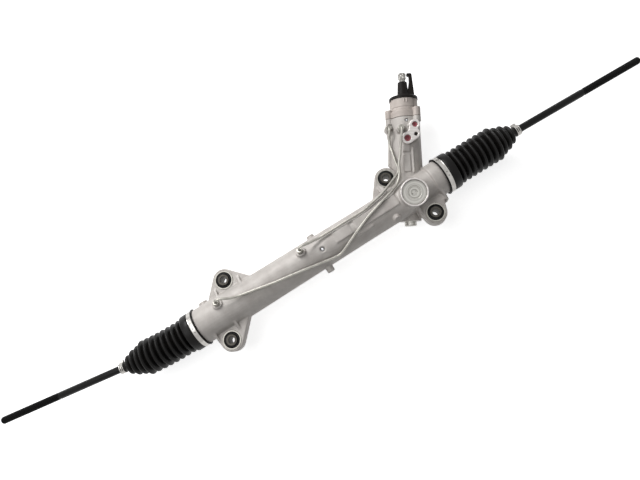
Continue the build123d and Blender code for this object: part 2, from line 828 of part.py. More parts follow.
bar_socket_r = 4.6
pinion_bottom = -45.0
pinion_head_r = 16.0
pinion_head_start = 44.0
pinion_head_end = 62.0
with BuildPart() as pinion:
    add(toothed_body)
    with BuildSketch(shaft_profile):
        with BuildLine():
            Polyline(
                (pinion_bottom, 0),
                (pinion_bottom, 5.5),
                (pinion_bottom + 0.5, 6),
                (lower_bearing_at - lower_bearing_width - 1, 6),
                (lower_bearing_at - lower_bearing_width - 1, journal_r),
                (lower_bearing_at, journal_r),
                (lower_bearing_at, journal_r + 1.5),
                (-pinion_face / 2, journal_r + 1.5),
                (-pinion_face / 2 + 1, 5),
                (pinion_face / 2 - 1, 5),
                (pinion_face / 2, 10),
                (pinion_head_start, 10),
                (pinion_head_start, pinion_head_r),
                (pinion_head_end, pinion_head_r),
                (pinion_head_end, 0),
                close=True,
            )
        make_face()
    revolve(axis=pinion_axis)
    with BuildSketch(shaft_stations.offset(pinion_seal_at)):
        Circle(bar_socket_r)
    extrude(amount=pinion_head_end - pinion_seal_at, mode=Mode.SUBTRACT)
save(pinion.part, "pinion")

# %% Lower bearing, nut and cap of the pinion

bearing_low = lower_bearing_at - lower_bearing_width
bearing_mid = lower_bearing_at - lower_bearing_width / 2
race_r = (lower_bearing_r + journal_r) / 2
bearing_ball_r = 2.3


def race(inner, outer):
    """One ring of the ball bearing, with its raceway."""
    with BuildPart() as piece:
        with BuildSketch(shaft_profile):
            with Locations((bearing_mid, (inner + outer) / 2)):
                Rectangle(lower_bearing_width, outer - inner)
            with Locations((bearing_mid, race_r)):
                Circle(bearing_ball_r + running, mode=Mode.SUBTRACT)
        revolve(axis=pinion_axis)
    return piece.part


save(race(race_r + 1.4, lower_bearing_r), "lower_bearing_outer")
save(race(journal_r + snug, race_r - 1.4), "lower_bearing_inner")

with BuildPart() as lower_bearing_balls:
    with Locations(shaft_stations.offset(bearing_mid)):
        with PolarLocations(race_r, 8):
            Sphere(bearing_ball_r)
save(lower_bearing_balls.part, "lower_bearing_balls")

with BuildPart() as pinion_nut:
    with BuildSketch(shaft_stations.offset(bearing_low - 1 - 8.5)):
        RegularPolygon(radius=9, side_count=6, major_radius=False)
        Circle(6 + snug, mode=Mode.SUBTRACT)
    extrude(amount=8.5)
save(pinion_nut.part, "pinion_nut")

bottom_cap = turned(
    shaft_profile,
    pinion_axis,
    [
        (lower_end - 9, 0),
        (lower_end - 9, 10.5),
        (lower_end - 8, 11.5),
        (lower_end, 11.5),
        (lower_end, lower_bearing_r + 1.4),
        (lower_end + bottom_cap_length - 0.2, lower_bearing_r + 1.4),
        (lower_end + bottom_cap_length - 0.2, lower_bearing_r),
        (bearing_low - 0.2, lower_bearing_r),
        (bearing_low - 0.2, race_r + 1.6),
        (lower_end + 1.4, race_r + 1.6),
        (lower_end + 1.4, 0),
    ],
)
save(bottom_cap, "bottom_cap")

pinion_seal = ring(
    shaft_profile, pinion_axis, pinion_seal_at, pinion_seal_at + pinion_seal_length, 10 + running, pinion_seal_r
)
save(pinion_seal, "pinion_seal")

# %% Rotary valve: sleeve with its rings, input shaft, torsion bar and pin

sleeve_r_outer = valve_bore_r - 1
sleeve_skirt = 50.0
sleeve_start = pinion_head_end + 2
sleeve_end = tower_top - 10
ring_grooves = (70.0, 91.0, 112.0, 132.0)
groove_width = 3.0
groove_floor_r = sleeve_r_outer - 1.6

with BuildPart() as valve_sleeve:
    with BuildSketch(shaft_profile):
        with BuildLine():
            Polyline(
                (sleeve_skirt, pinion_head_r + snug),
                (sleeve_start, pinion_head_r + snug),
                (sleeve_start, spool_r + running),
                (sleeve_end, spool_r + running),
                (sleeve_end, sleeve_r_outer),
                (sleeve_skirt, sleeve_r_outer),
                close=True,
            )
        make_face()
        with Locations(*[(groove + groove_width / 2, sleeve_r_outer) for groove in ring_grooves]):
            Rectangle(groove_width, 2 * (sleeve_r_outer - groove_floor_r), mode=Mode.SUBTRACT)
    revolve(axis=pinion_axis)
save(valve_sleeve.part, "valve_sleeve")

with BuildPart() as sleeve_rings:
    with BuildSketch(shaft_profile):
        for groove in ring_grooves:
            with Locations((groove + groove_width / 2, (groove_floor_r + valve_bore_r) / 2)):
                Rectangle(groove_width - 0.2, valve_bore_r - groove_floor_r - 2 * running)
    revolve(axis=pinion_axis)
save(sleeve_rings.part, "sleeve_rings")

head_start = shaft_tip - shaft_head_length
collar_seat = cover_top + clear
bar_way_r = 4.0
pin_at = shaft_tip - 8
pin_r = 1.5
with BuildPart() as input_shaft:
    with BuildSketch(shaft_profile):
        with BuildLine():
            Polyline(
                (spool_start, bar_way_r),
                (spool_start, spool_r),
                (spool_end, spool_r),
                (spool_end, shaft_r),
                (collar_seat, shaft_r),
                (collar_seat, shaft_neck_r),
                (head_start, shaft_neck_r),
                (head_start + 1, shaft_head_r),
                (shaft_tip - 1.5, shaft_head_r),
                (shaft_tip, shaft_head_r - 1.5),
                (shaft_tip, 0),
                (shaft_tip - 3, 0),
                (shaft_tip - 3, bar_way_r),
                close=True,
            )
        make_face()
    revolve(axis=pinion_axis)
    with BuildSketch(shaft_stations.offset(spool_start + 8)):
        with PolarLocations(spool_r, 6):
            Rectangle(2.4, 4)
    extrude(amount=spool_end - spool_start - 16, mode=Mode.SUBTRACT)
    with BuildSketch(Plane(origin=pinion_centre + shaft_way * pin_at, z_dir=side_way)):
        Circle(pin_r + running)
    extrude(amount=shaft_head_r + 1, both=True, mode=Mode.SUBTRACT)
save(input_shaft.part, "input_shaft")

with BuildPart() as torsion_bar:
    with BuildSketch(shaft_profile):
        with BuildLine():
            Polyline(
                (pinion_seal_at + 0.5, 0),
                (pinion_seal_at + 0.5, bar_socket_r - running),
                (sleeve_skirt - 2, bar_socket_r - running),
                (sleeve_skirt + 2, torsion_bar_r),
                (pin_at - 12, torsion_bar_r),
                (pin_at - 8, bar_way_r - running),
                (shaft_tip - 3.5, bar_way_r - running),
                (shaft_tip - 3.5, 0),
                close=True,
            )
        make_face()
    revolve(axis=pinion_axis)
    with BuildSketch(Plane(origin=pinion_centre + shaft_way * pin_at, z_dir=side_way)):
        Circle(pin_r + running)
    extrude(amount=shaft_head_r, both=True, mode=Mode.SUBTRACT)
save(torsion_bar.part, "torsion_bar")

with BuildPart() as torsion_pin:
    with BuildSketch(Plane(origin=pinion_centre + shaft_way * pin_at, z_dir=side_way)):
        Circle(pin_r)
    extrude(amount=shaft_head_r - 0.6, both=True)
save(torsion_pin.part, "torsion_pin")

# %% Upper valve housing with its bearing, seal, bolts and dust cover

flange_top = tower_top + cap_flange
bearing_seat = tower_top + 6
groove_at = 168.0
with BuildPart() as valve_housing:
    with BuildSketch(shaft_profile):
        with BuildLine():
            Polyline(
                (tower_top - 6, cap_bearing_r - 1),
                (bearing_seat, cap_bearing_r - 1),
                (bearing_seat, cap_bearing_r + snug),
                (cap_top, cap_bearing_r + snug),
                (cap_top, cap_r - 1),
                (cap_top - 1, cap_r),
                (groove_at + 1.5, cap_r),
                (groove_at + 1.5, cap_r - 1),
                (groove_at, cap_r - 1),
                (groove_at, cap_r),
                (flange_top, cap_r),
                (flange_top, tower_r + 0.5),
                (tower_top, tower_r + 0.5),
                (tower_top, valve_bore_r - snug),
                (tower_top - 6, valve_bore_r - snug),
                close=True,
            )
        make_face()
    revolve(axis=pinion_axis)
    with BuildSketch(shaft_stations.offset(tower_top)):
        with Locations(*ear_places(ear_circle_r)):
            Circle(ear_r)
    extrude(amount=cap_ear_length)
    with BuildSketch(shaft_stations.offset(tower_top + cap_head_seat)):
        with Locations(*ear_places(ear_circle_r)):
            Circle(cap_head_r + clear)
    extrude(amount=cap_top - tower_top - cap_head_seat, mode=Mode.SUBTRACT)
    with BuildSketch(shaft_stations.offset(tower_top)):
        with Locations(*ear_places(ear_circle_r)):
            Circle(cap_bolt_r + snug)
    extrude(amount=cap_head_seat, mode=Mode.SUBTRACT)
save(valve_housing.part, "valve_housing")

with BuildPart() as valve_housing_bolts:
    with BuildSketch(shaft_stations.offset(tower_top - cap_bolt_reach)):
        with Locations(*ear_places(ear_circle_r)):
            Circle(cap_bolt_r)
    extrude(amount=cap_bolt_reach + cap_head_seat)
    with BuildSketch(shaft_stations.offset(tower_top + cap_head_seat)):
        with Locations(*ear_places(ear_circle_r)):
            Circle(cap_head_r)
    extrude(amount=cap_head_length)
    with BuildSketch(shaft_stations.offset(tower_top + cap_head_seat + cap_head_length)):
        with Locations(*ear_places(ear_circle_r)):
            RegularPolygon(radius=cap_key_across / 2, side_count=6, major_radius=False)
    extrude(amount=-cap_key_depth, mode=Mode.SUBTRACT)
save(valve_housing_bolts.part, "valve_housing_bolts")

input_bearing = ring(
    shaft_profile, pinion_axis, bearing_seat + 2, bearing_seat + 16, shaft_r + running, cap_bearing_r
)
save(input_bearing, "input_bearing")
input_seal = ring(shaft_profile, pinion_axis, cap_top - 12, cap_top - 4, shaft_r + running, cap_bearing_r)
save(input_seal, "input_seal")

cover_bore_r = 13.3
dust_cover = turned(
    shaft_profile,
    pinion_axis,
    [
        (cap_top + snug, cover_bore_r),
        (cover_top, cover_bore_r),
        (cover_top, cap_r - 1),
        (cover_top - 1.5, cap_r + 1),
        (cap_top - 2, cap_r + 1),
        (cap_top - 2, cap_r + snug),
        (cap_top + snug, cap_r + snug),
    ],
)
save(dust_cover, "dust_cover")

# %% Black alignment collar with its finger

collar_top = head_start - 5
collar_base_r = 13.2
collar_root_r = 10.8
collar_tip_r = 8.8
with BuildPart() as alignment_collar:
    with BuildSketch(shaft_profile):
        with BuildLine():
            Polyline(
                (collar_seat + snug, shaft_neck_r + snug),
                (collar_top, shaft_neck_r + snug),
                (collar_top, collar_tip_r),
                (collar_seat + 2.5, collar_root_r),
                (collar_seat + 2, collar_base_r),
                (collar_seat + snug, collar_base_r),
                close=True,
            )
        make_face()
    revolve(axis=pinion_axis)
    with BuildSketch(port_plane):
        with BuildLine():
            Polyline(
                (collar_seat + snug, -10),
                (collar_seat + snug, -20),
                (collar_seat + 4, -21.5),
                (shaft_tip - 3, -18.5),
                (shaft_tip - 1, -17),
                (shaft_tip - 1, -9),
                (shaft_tip - 5, -9),
                (shaft_tip - 7, -13),
                (head_start - 4, -13),
                (collar_seat + 12, -10),
                close=True,
            )
        make_face()
    extrude(amount=4, both=True)
save(alignment_collar.part, "alignment_collar")

# %% Transport plugs of the two open ports, and pressed steel balls

for port, port_r, name in (
    (pressure_port, pressure_port_r, "pressure_port_plug"),
    (return_port, return_port_r, "return_port_plug"),
):
    with BuildPart() as port_plug:
        with BuildSketch(port_plane.offset(port_height - port_depth + 2)):
            with Locations(port):
                Circle(port_r - snug)
        extrude(amount=port_depth - 4)
        with BuildSketch(port_plane.offset(port_height - 2)):
            with Locations(port):
                Circle(port_r - 2)
        extrude(amount=-4, mode=Mode.SUBTRACT)
    save(port_plug.part, name)

# %% Mounting bushes: outer shell, rubber and steel sleeve, four of each

lug_high = lug_low + lug_thickness
with BuildPart() as bush_shells:
    with BuildSketch(Plane.XY.offset(lug_low)):
        with Locations(*bolt_places):
            Circle(rubber_r + shell_wall)
            Circle(rubber_r, mode=Mode.SUBTRACT)
    extrude(amount=lug_thickness)
    with BuildSketch(Plane.XY.offset(lug_high)):
        with Locations(*bolt_places):
            Circle(shell_rim_r)
            Circle(rubber_r, mode=Mode.SUBTRACT)
    extrude(amount=shell_rim)
save(bush_shells.part, "bush_shells")

with BuildPart() as bush_rubbers:
    with BuildSketch(Plane.XY.offset(lug_low - 1)):
        with Locations(*bolt_places):
            Circle(rubber_r - snug)
            Circle(sleeve_r + snug, mode=Mode.SUBTRACT)
    extrude(amount=lug_thickness + 2)
save(bush_rubbers.part, "bush_rubbers")

with BuildPart() as bush_sleeves:
    with BuildSketch(Plane.XY):
        with Locations(*bolt_places):
            Circle(sleeve_r)
            Circle(bolt_bore_r, mode=Mode.SUBTRACT)
    extrude(amount=sleeve_length)
save(bush_sleeves.part, "bush_sleeves")

# %% Steel balls that close drillings: one in the tube, a smaller one in the tower

with BuildPart() as ball_plug:
    with Locations(radial(ball_plug_at, ball_plug_turn, ball_plug_reach)):
        Sphere(ball_plug_r)
    tower_ball_station, tower_ball_left = tower_ball_place
    with Locations(by_tower(tower_ball_station, tower_ball_left, tower_ball_height)):
        Sphere(tower_ball_r)
save(ball_plug.part, "ball_plug")

# %% Rigid hydraulic pipes and their nuts


def port_run(station):
    """The two points of a pipe's end above a cylinder port, from the seat up to the elbow."""
    return [
        radial(station, cylinder_port_turn, reach).origin
        for reach in (cylinder_port_top - pipe_seat, cylinder_port_top + elbow_height)
    ]


elbow_height = 13.0  # of a pipe's elbow above its port
elbow_level = (cylinder_port_top + elbow_height) * cos(radians(cylinder_port_turn))
elbow_rear = (cylinder_port_top + elbow_height) * sin(radians(cylinder_port_turn))
largest_bend = 40.0

short_route = [
    *port_run(right_port_at),
    by_rack(right_port_at + 12, 18.0, elbow_level - 0.2),
    by_rack(right_port_at + 25, 17.5, elbow_level - 8.1),
    by_rack(8, 17.1, 34.1),
    by_rack(103, 16.2, 33.4),
    by_rack(125, 21, 30.5),
    by_rack(150, 26.5, 28),
    by_rack(172, 35, 24),
    by_tower(43, 21.4, 27),
    by_tower(51, 21.1, 26),
    by_tower(66, 25.4, 22),
    by_tower(81, 28.6, 18),
    by_tower(98, 32.6, 12.5),
    by_tower(112, 33.5, 15),
    by_tower(120, shoulder_pipe_port[1], shoulder_port_height + elbow_height),
    by_tower(*shoulder_pipe_port, shoulder_port_height + elbow_height),
    by_tower(*shoulder_pipe_port, shoulder_port_height - pipe_seat),
]
long_route = [
    *port_run(left_port_at),
    by_rack(left_port_at + 12, elbow_rear - 3.1, elbow_level + 1.2),
    by_rack(left_port_at + 26, elbow_rear - 9.7, elbow_level - 5.2),
    by_rack(left_port_at + 44, elbow_rear - 14.6, elbow_level - 9.0),
    by_rack(-103.4, -10.2, 36.6),
    by_rack(-49, -18.1, 32.6),
    by_rack(5.7, -26.8, 25.5),
    by_rack(23.1, -28.8, 23.2),
    by_rack(42.2, -22, 29.7),
    by_rack(78.5, -7.5, 36.2),
    by_rack(105.9, 2.5, 37.1),
    by_rack(133.6, 10.3, 37.4),
    by_rack(161.8, 18.2, 33.6),
    by_rack(183.7, 26.8, 26.5),
    by_tower(43, 20, 37),
    by_tower(58, 21.4, 36.5),
    by_tower(72, 18.5, 37),
    by_tower(85, 16.9, 38),
    by_tower(98, 15.5, 40.5),
    by_tower(112, 14.0, 45.5),
    by_tower(*tower_pipe_port, tower_port_height + elbow_height + 1),
    by_tower(*tower_pipe_port, tower_port_height - pipe_seat),
]


def bends(route):
    """The largest bend radius that each corner's shorter run allows."""
    radii = []
    for before, corner, after in zip(route, route[1:], route[2:]):
        turn = radians((corner - before).get_angle(after - corner))
        shorter = min((corner - before).length, (after - corner).length)
        radii.append(min(0.45 * shorter / tan(turn / 2), largest_bend))
    return radii


def pipe(route):
    """A hollow round pipe along a route."""
    with BuildPart() as piece:
        with BuildLine() as path:
            FilletPolyline(*route, radius=bends(route))
        with BuildSketch(Plane(origin=route[0], z_dir=route[1] - route[0])):
            Circle(pipe_r)
            Circle(pipe_bore_r, mode=Mode.SUBTRACT)
        sweep(path=path.wires()[0])
    return piece.part


save(pipe(short_route), "pipe_short")
save(pipe(long_route), "pipe_long")

nut_planes = [
    radial(left_port_at, cylinder_port_turn, cylinder_port_top),
    radial(right_port_at, cylinder_port_turn, cylinder_port_top),
    Plane(origin=by_tower(*tower_pipe_port, tower_port_height), x_dir=shaft_way, z_dir=up),
    Plane(origin=by_tower(*shoulder_pipe_port, shoulder_port_height), x_dir=shaft_way, z_dir=up),
]
with BuildPart() as pipe_nuts:
    for nut_plane in nut_planes:
        with BuildSketch(nut_plane):
            RegularPolygon(radius=nut_across / 2, side_count=6, major_radius=False)
            Circle(nut_bore_r, mode=Mode.SUBTRACT)
        extrude(amount=nut_height)
save(pipe_nuts.part, "pipe_nuts")

# %% Inner ball joints: socket, lock washer, seat, ball and tie rod, one of each per side


def socket(way):
    """The socket that screws into one end of the rack, open towards the wheel."""

    def at(reach, radius):
        return (way * (ball_reach + reach), radius)

    cavity_r = ball_r + seat_wall + running
    rim = radians(socket_opening)
    with BuildPart() as piece:
        with BuildSketch(lengthwise):
            with BuildLine():
                Polyline(
                    at(-cavity_r, 0),
                    at(-socket_back - stud_length, 0),
                    at(-socket_back - stud_length, stud_r - 1),
                    at(-socket_back - stud_length + 1, stud_r),
                    at(-socket_back, stud_r),
                    at(-socket_back, flats_r - 1),
                    at(-socket_back + 1, flats_r),
                    at(-socket_back + flats_length, flats_r),
                    at(-socket_back + flats_length + 3, socket_r),
                    at(6, socket_r),
                    at(socket_lip, socket_r - 3.5),
                    at(socket_lip, cavity_r * sin(rim) + 1),
                    at(cavity_r * cos(rim), cavity_r * sin(rim)),
                )
                ThreePointArc(
                    at(cavity_r * cos(rim), cavity_r * sin(rim)), at(0, cavity_r), at(-cavity_r, 0)
                )
            make_face()
        revolve(axis=rack_axis)
        with BuildSketch(stations.offset(way * (ball_reach - socket_back))):
            for side in (1, -1):
                with Locations((0, side * (flats_across / 2 + flats_r))):
                    Rectangle(3 * flats_r, 2 * flats_r)
        extrude(amount=way * (flats_length - 1), mode=Mode.SUBTRACT)
    return piece.part


def rod_way(way, turn):
    """The direction of a tie rod at rest."""
    return Vector(way * cos(radians(turn)), sin(radians(turn)), 0)


def rod_frame(way, turn):
    """A half-profile plane and the axis of one tie rod, from its ball's centre outwards."""
    centre = rack_middle + along * way * ball_reach
    profile = Plane(origin=centre, x_dir=rod_way(way, turn), z_dir=(0, 0, 1))
    return profile, Axis(centre, rod_way(way, turn))


def shell_seat(way, turn):
    """The seat between socket and ball: a spherical shell, open to the front and pierced behind."""
    profile, axis = rod_frame(way, turn)
    inner = ball_r + running
    outer = ball_r + seat_wall
    front = radians(seat_opening)
    back = radians(180 - seat_back_opening)
    middle = (front + back) / 2
    with BuildPart() as piece:
        with BuildSketch(profile):
            with BuildLine():
                for radius in (inner, outer):
                    ThreePointArc(*[(radius * cos(turn), radius * sin(turn)) for turn in (front, middle, back)])
                for turn in (front, back):
                    Line((inner * cos(turn), inner * sin(turn)), (outer * cos(turn), outer * sin(turn)))
            make_face()
        revolve(axis=axis)
    return piece.part


def ball(way, turn):
    """One inner ball, bored for the neck of its tie rod."""
    centre = rod_frame(way, turn)[0].origin
    across_rod = Plane(origin=centre, z_dir=rod_way(way, turn))
    with BuildPart() as piece:
        with Locations(across_rod):
            Sphere(ball_r)
        with BuildSketch(across_rod.offset(neck_start)):
            Circle(rod_neck_r + running)
        extrude(amount=ball_r, mode=Mode.SUBTRACT)
    return piece.part


def tie_rod(way, turn):
    """One inner tie rod, from the neck in its ball to its threaded end."""
    profile, axis = rod_frame(way, turn)
    return turned(
        profile,
        axis,
        [
            (neck_start + snug, 0),
            (neck_start + snug, rod_neck_r),
            (ball_r + 2, rod_neck_r),
            (ball_r + 6, rod_r),
            (rod_length - rod_thread - 3, rod_r),
            (rod_length - rod_thread - 2, rod_r - 0.7),
            (rod_length - rod_thread, rod_r - 0.7),
            (rod_length - rod_thread + 0.7, rod_r),
            (rod_length - 1.5, rod_r),
            (rod_length, rod_r - 1.5),
            (rod_length, 0),
        ],
    )


for name, way, turn in (("left", -1, rod_turn_left), ("right", 1, rod_turn_right)):
    save(socket(way), "socket_" + name)
    save(shell_seat(way, turn), "ball_seat_" + name)
    save(ball(way, turn), "ball_" + name)
    save(tie_rod(way, turn), "tie_rod_" + name)

with BuildPart() as lock_washers:
    for way in (-1, 1):
        with BuildSketch(stations.offset(way * rack_end)):
            Circle(flats_r - 1)
            Circle(stud_r + snug, mode=Mode.SUBTRACT)
        extrude(amount=way * washer_thickness)
save(lock_washers.part, "lock_washers")

# %% Bellows boots and their clamps

bend_half = 47.5  # a boot bends evenly, this far before and behind the ball's centre
first_fold = boot_first_crest - boot_pitch / 2
last_fold = boot_first_crest + (len(boot_crests) - 0.5) * boot_pitch
boot_length = last_fold + boot_taper + boot_cuff_length


def boot_plane(way, turn, shoulder, station):
    """The cross-section plane of a boot, given by its distance from the housing's shoulder."""
    reach = shoulder + station
    slope = tan(radians(turn))
    share = min(max((reach - ball_reach + bend_half) / (2 * bend_half), 0), 1)
    aside = bend_half * share * share * slope + max(reach - ball_reach - bend_half, 0) * slope
    centre = rack_middle + Vector(way * reach, aside, 0)
    return Plane(origin=centre, x_dir=(0, 0, 1), z_dir=(way, share * slope, 0))


def boot(way, turn, shoulder):
    """One bellows, lofted through its crests and roots, with a plain hollow."""
    outside = [
        (0, boot_lip_r),
        (boot_lip, boot_lip_r),
        (boot_lip + 0.5, boot_collar_r),
        (boot_lip + large_clamp_width + 1.5, boot_collar_r),
        (boot_lip + large_clamp_width + 3, boot_block_r),
        (first_fold - boot_block_gap, boot_block_r),
        (first_fold, boot_roots[0]),
    ]
    for number, (crest, root) in enumerate(zip(boot_crests, boot_roots)):
        middle = boot_first_crest + number * boot_pitch
        outside += [(middle - 1, crest), (middle + 1, crest), (middle + boot_pitch / 2, root)]
    outside += [(last_fold + boot_taper, boot_cuff_r), (boot_length, boot_cuff_r)]
    widest = boot_first_crest + 6.5 * boot_pitch
    inside = [
        (0, spigot_r + snug),
        (spigot_length + 0.5, spigot_r + snug),
        (spigot_length + 3, boot_roots[0] - boot_wall),
        (widest, boot_roots[6] - boot_wall),
        (widest + boot_pitch, boot_roots[7] - boot_wall),
        (widest + 2 * boot_pitch, boot_roots[8] - boot_wall),
        (widest + 3 * boot_pitch, boot_roots[9] - boot_wall),
        (last_fold, boot_roots[10] - boot_wall),
        (last_fold + boot_taper, rod_r + clear),
        (boot_length, rod_r + clear),
    ]
    with BuildPart() as piece:
        for sections, mode in ((outside, Mode.ADD), (inside, Mode.SUBTRACT)):
            for station, radius in sections:
                with BuildSketch(boot_plane(way, turn, shoulder, station)):
                    Circle(radius)
            loft(ruled=True, mode=mode)
    return piece.part


def band(plane, inner, width, ear_turn):
    """A steel band round a boot, with its pinched ear, centred on a plane."""
    outer = inner + clamp_wall
    with BuildPart() as piece:
        with BuildSketch(plane.offset(-width / 2)):
            Circle(outer)
            with PolarLocations(outer + ear_height / 2 - 0.3, 1, ear_turn):
                Rectangle(ear_height + 0.6, ear_width)
            Circle(inner, mode=Mode.SUBTRACT)
        extrude(amount=width)
    return piece.part


large_clamp_at = boot_lip + 0.5 + large_clamp_width / 2
small_clamp_at = boot_length - 1 - small_clamp_width / 2
for name, way, turn, shoulder in (
    ("left", -1, rod_turn_left, -housing_left),
    ("right", 1, rod_turn_right, housing_right),
):
    save(boot(way, turn, shoulder), "boot_" + name)
    small_plane = boot_plane(way, turn, shoulder, small_clamp_at)
    small_clamp = band(small_plane, boot_cuff_r + clear, small_clamp_width, -way * small_ear_turn)
    save(small_clamp, "small_clamp_" + name)

with BuildPart() as large_clamps:
    for way, shoulder in ((-1, -housing_left), (1, housing_right)):
        large_plane = boot_plane(way, 0, shoulder, large_clamp_at)
        add(band(large_plane, boot_collar_r + clear, large_clamp_width, large_ear_turn))
save(large_clamps.part, "large_clamps")
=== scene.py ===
# %% [markdown]
# # Dressing a hydraulic steering rack
# The steering rack is a long die-cast aluminium housing with two black bellows, two black tie rods, a
# valve tower and two thin steel pipes. Its working pieces come ready made as the frame, each in its own
# object and in its true place. This lesson gives them their finishes, and makes anew the soft and fine
# pieces that a solid modeller leaves plain: the bellows, the bands, the threads and the cast skin.

# %% The frame
import json
from math import asin, atan2, cos, degrees, pi, radians, sin, tan

import bmesh
import bpy
from mathutils import Matrix, Vector


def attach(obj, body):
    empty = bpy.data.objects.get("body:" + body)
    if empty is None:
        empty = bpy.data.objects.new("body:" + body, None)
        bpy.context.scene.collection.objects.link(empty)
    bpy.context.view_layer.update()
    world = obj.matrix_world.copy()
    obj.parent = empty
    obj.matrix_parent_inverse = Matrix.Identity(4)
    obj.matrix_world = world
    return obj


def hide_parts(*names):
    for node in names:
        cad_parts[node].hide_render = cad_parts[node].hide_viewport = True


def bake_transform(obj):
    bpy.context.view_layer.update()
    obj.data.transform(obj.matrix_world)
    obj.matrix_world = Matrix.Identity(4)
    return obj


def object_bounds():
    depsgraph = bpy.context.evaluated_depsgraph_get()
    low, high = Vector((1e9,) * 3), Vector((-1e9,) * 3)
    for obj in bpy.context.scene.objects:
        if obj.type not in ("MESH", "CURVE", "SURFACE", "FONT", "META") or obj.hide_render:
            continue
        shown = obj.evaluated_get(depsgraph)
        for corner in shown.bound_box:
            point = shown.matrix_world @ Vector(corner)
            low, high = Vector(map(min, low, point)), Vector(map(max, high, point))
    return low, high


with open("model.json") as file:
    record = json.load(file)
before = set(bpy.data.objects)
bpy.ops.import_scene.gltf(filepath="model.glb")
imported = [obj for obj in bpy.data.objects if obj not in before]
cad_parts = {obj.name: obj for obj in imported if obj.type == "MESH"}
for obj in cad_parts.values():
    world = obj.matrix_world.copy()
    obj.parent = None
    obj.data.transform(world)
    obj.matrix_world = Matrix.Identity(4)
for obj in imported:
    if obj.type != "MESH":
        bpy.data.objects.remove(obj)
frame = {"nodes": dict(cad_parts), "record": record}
cad_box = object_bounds()
mm = 0.001

# %% [markdown]
# ## Where things are
# The frame's origin is midway between the two rear mounting bolts, and X runs along the rack. The rack's
# line and the pinion's leaning shaft are the two lines that everything else sits on. Each piece could be
# turned and moved by hand, but a matrix that carries a shape made about the Z axis onto its line is one
# name to remember, and it serves every piece on that line.

# %% The lines of the rack and of the leaning shaft
rack_middle = Vector((8, -51, 15)) * mm
ball_reach = 352.5 * mm  # from the rack's middle to each inner ball
mesh_at = 195.5 * mm  # from the rack's middle to where the pinion crosses it
shaft_tilt = radians(29)  # from square to the rack
lean = radians(10)  # of the yoke's line, from vertical towards the front
pinion_teeth, normal_module = 8, 2 * mm
pitch_drop = 9.3 * mm  # from the rack's line to the line that the pinion rolls on

upwards = Vector((0, -sin(lean), cos(lean)))
across = Vector((0, cos(lean), sin(lean)))
shaft_way = Vector((sin(shaft_tilt), 0, 0)) + across * cos(shaft_tilt)
mesh_point = rack_middle + Vector((mesh_at, 0, 0))
pitch_radius = pinion_teeth * normal_module / cos(shaft_tilt) / 2
shaft_foot = mesh_point - upwards * (pitch_drop + pitch_radius)


def onto(origin, x_way, z_way):
    """The matrix that carries a shape's own X and Z onto two directions at a place."""
    z_axis = z_way.normalized()
    x_axis = (x_way - z_axis * x_way.dot(z_axis)).normalized()
    turn = Matrix((x_axis, z_axis.cross(x_axis), z_axis)).transposed().to_4x4()
    return Matrix.Translation(origin) @ turn


shaft_frame = onto(shaft_foot, upwards, shaft_way)
yoke_frame = onto(mesh_point, Vector((1, 0, 0)), upwards)
port_frame = onto(shaft_foot, shaft_way, upwards)
print("the shaft leans", round(degrees(shaft_tilt)), "degrees from square")

# %% [markdown]
# ## The camera
# The part lies flat and is seen from almost straight above, turned so that it runs up the view from
# the lower left. A camera can be aimed with a constraint, but three plain facts are enough here: where it
# stands, how far it tilts from straight down and how far it rolls. The lens follows from the sensor's
# width and the width of the view.

# %% Camera
camera_place = Vector((13.7, -243.8, 960.3)) * mm
camera_tilt = radians(12.7)
camera_roll = radians(-32.1)
focal_pixels = 510
image_width = 640
sensor_width = 36

camera = bpy.data.objects.new("camera", bpy.data.cameras.new("camera"))
bpy.context.scene.collection.objects.link(camera)
camera.matrix_world = (
    Matrix.Translation(camera_place)
    @ Matrix.Rotation(camera_tilt, 4, "X")
    @ Matrix.Rotation(camera_roll, 4, "Z")
)
camera.data.sensor_width = sensor_width
camera.data.sensor_fit = "HORIZONTAL"
camera.data.lens = sensor_width * focal_pixels / image_width
bpy.context.scene.camera = camera
bpy.context.scene.view_settings.view_transform = "Standard"
print("lens", round(camera.data.lens, 1), "mm")

# %% [markdown]
# ## Adding nodes
# Every finish below is a small web of shader nodes. One function adds a node, sets its values and joins
# its inputs. Another turns a given colour, which is stored as sRGB, into the linear light that
# shaders count in. The third turns a real size into the scale that a texture wants, and the last starts
# a material whose patterns will sit on the object's own coordinates, so that they don't slide or stretch.


# %% Helpers for materials
def linear(code, alpha=1):
    """The linear colour of an sRGB hex value such as c0c0c0."""
    parts = [int(code[i : i + 2], 16) / 255 for i in (0, 2, 4)]
    light = [p / 12.92 if p <= 0.04045 else ((p + 0.055) / 1.055) ** 2.4 for p in parts]
    return (*light, alpha)


def add(tree, kind, values=None, links=None, **settings):
    """Add one shader node, with its settings, the values of its inputs and the links into them."""
    node = tree.nodes.new("ShaderNode" + kind)
    for name, value in settings.items():
        setattr(node, name, value)
    for socket, value in (values or {}).items():
        node.inputs[socket].default_value = value
    for socket, source in (links or {}).items():
        tree.links.new(source, node.inputs[socket])
    return node


def per(size):
    """The texture scale that gives features of a size in millimetres."""
    return 1 / (size * mm)


def blank(name, metallic, roughness):
    """A new material: its node tree, its surface shader and the object's own coordinates."""
    material = bpy.data.materials.new(name)
    material.use_nodes = True
    tree = material.node_tree
    shader = tree.nodes["Principled BSDF"]
    shader.inputs["Metallic"].default_value = metallic
    shader.inputs["Roughness"].default_value = roughness
    place = add(tree, "TexCoord").outputs["Object"]
    return material, tree, shader, place


print("mid grey in linear light:", round(linear("808080")[0], 3))

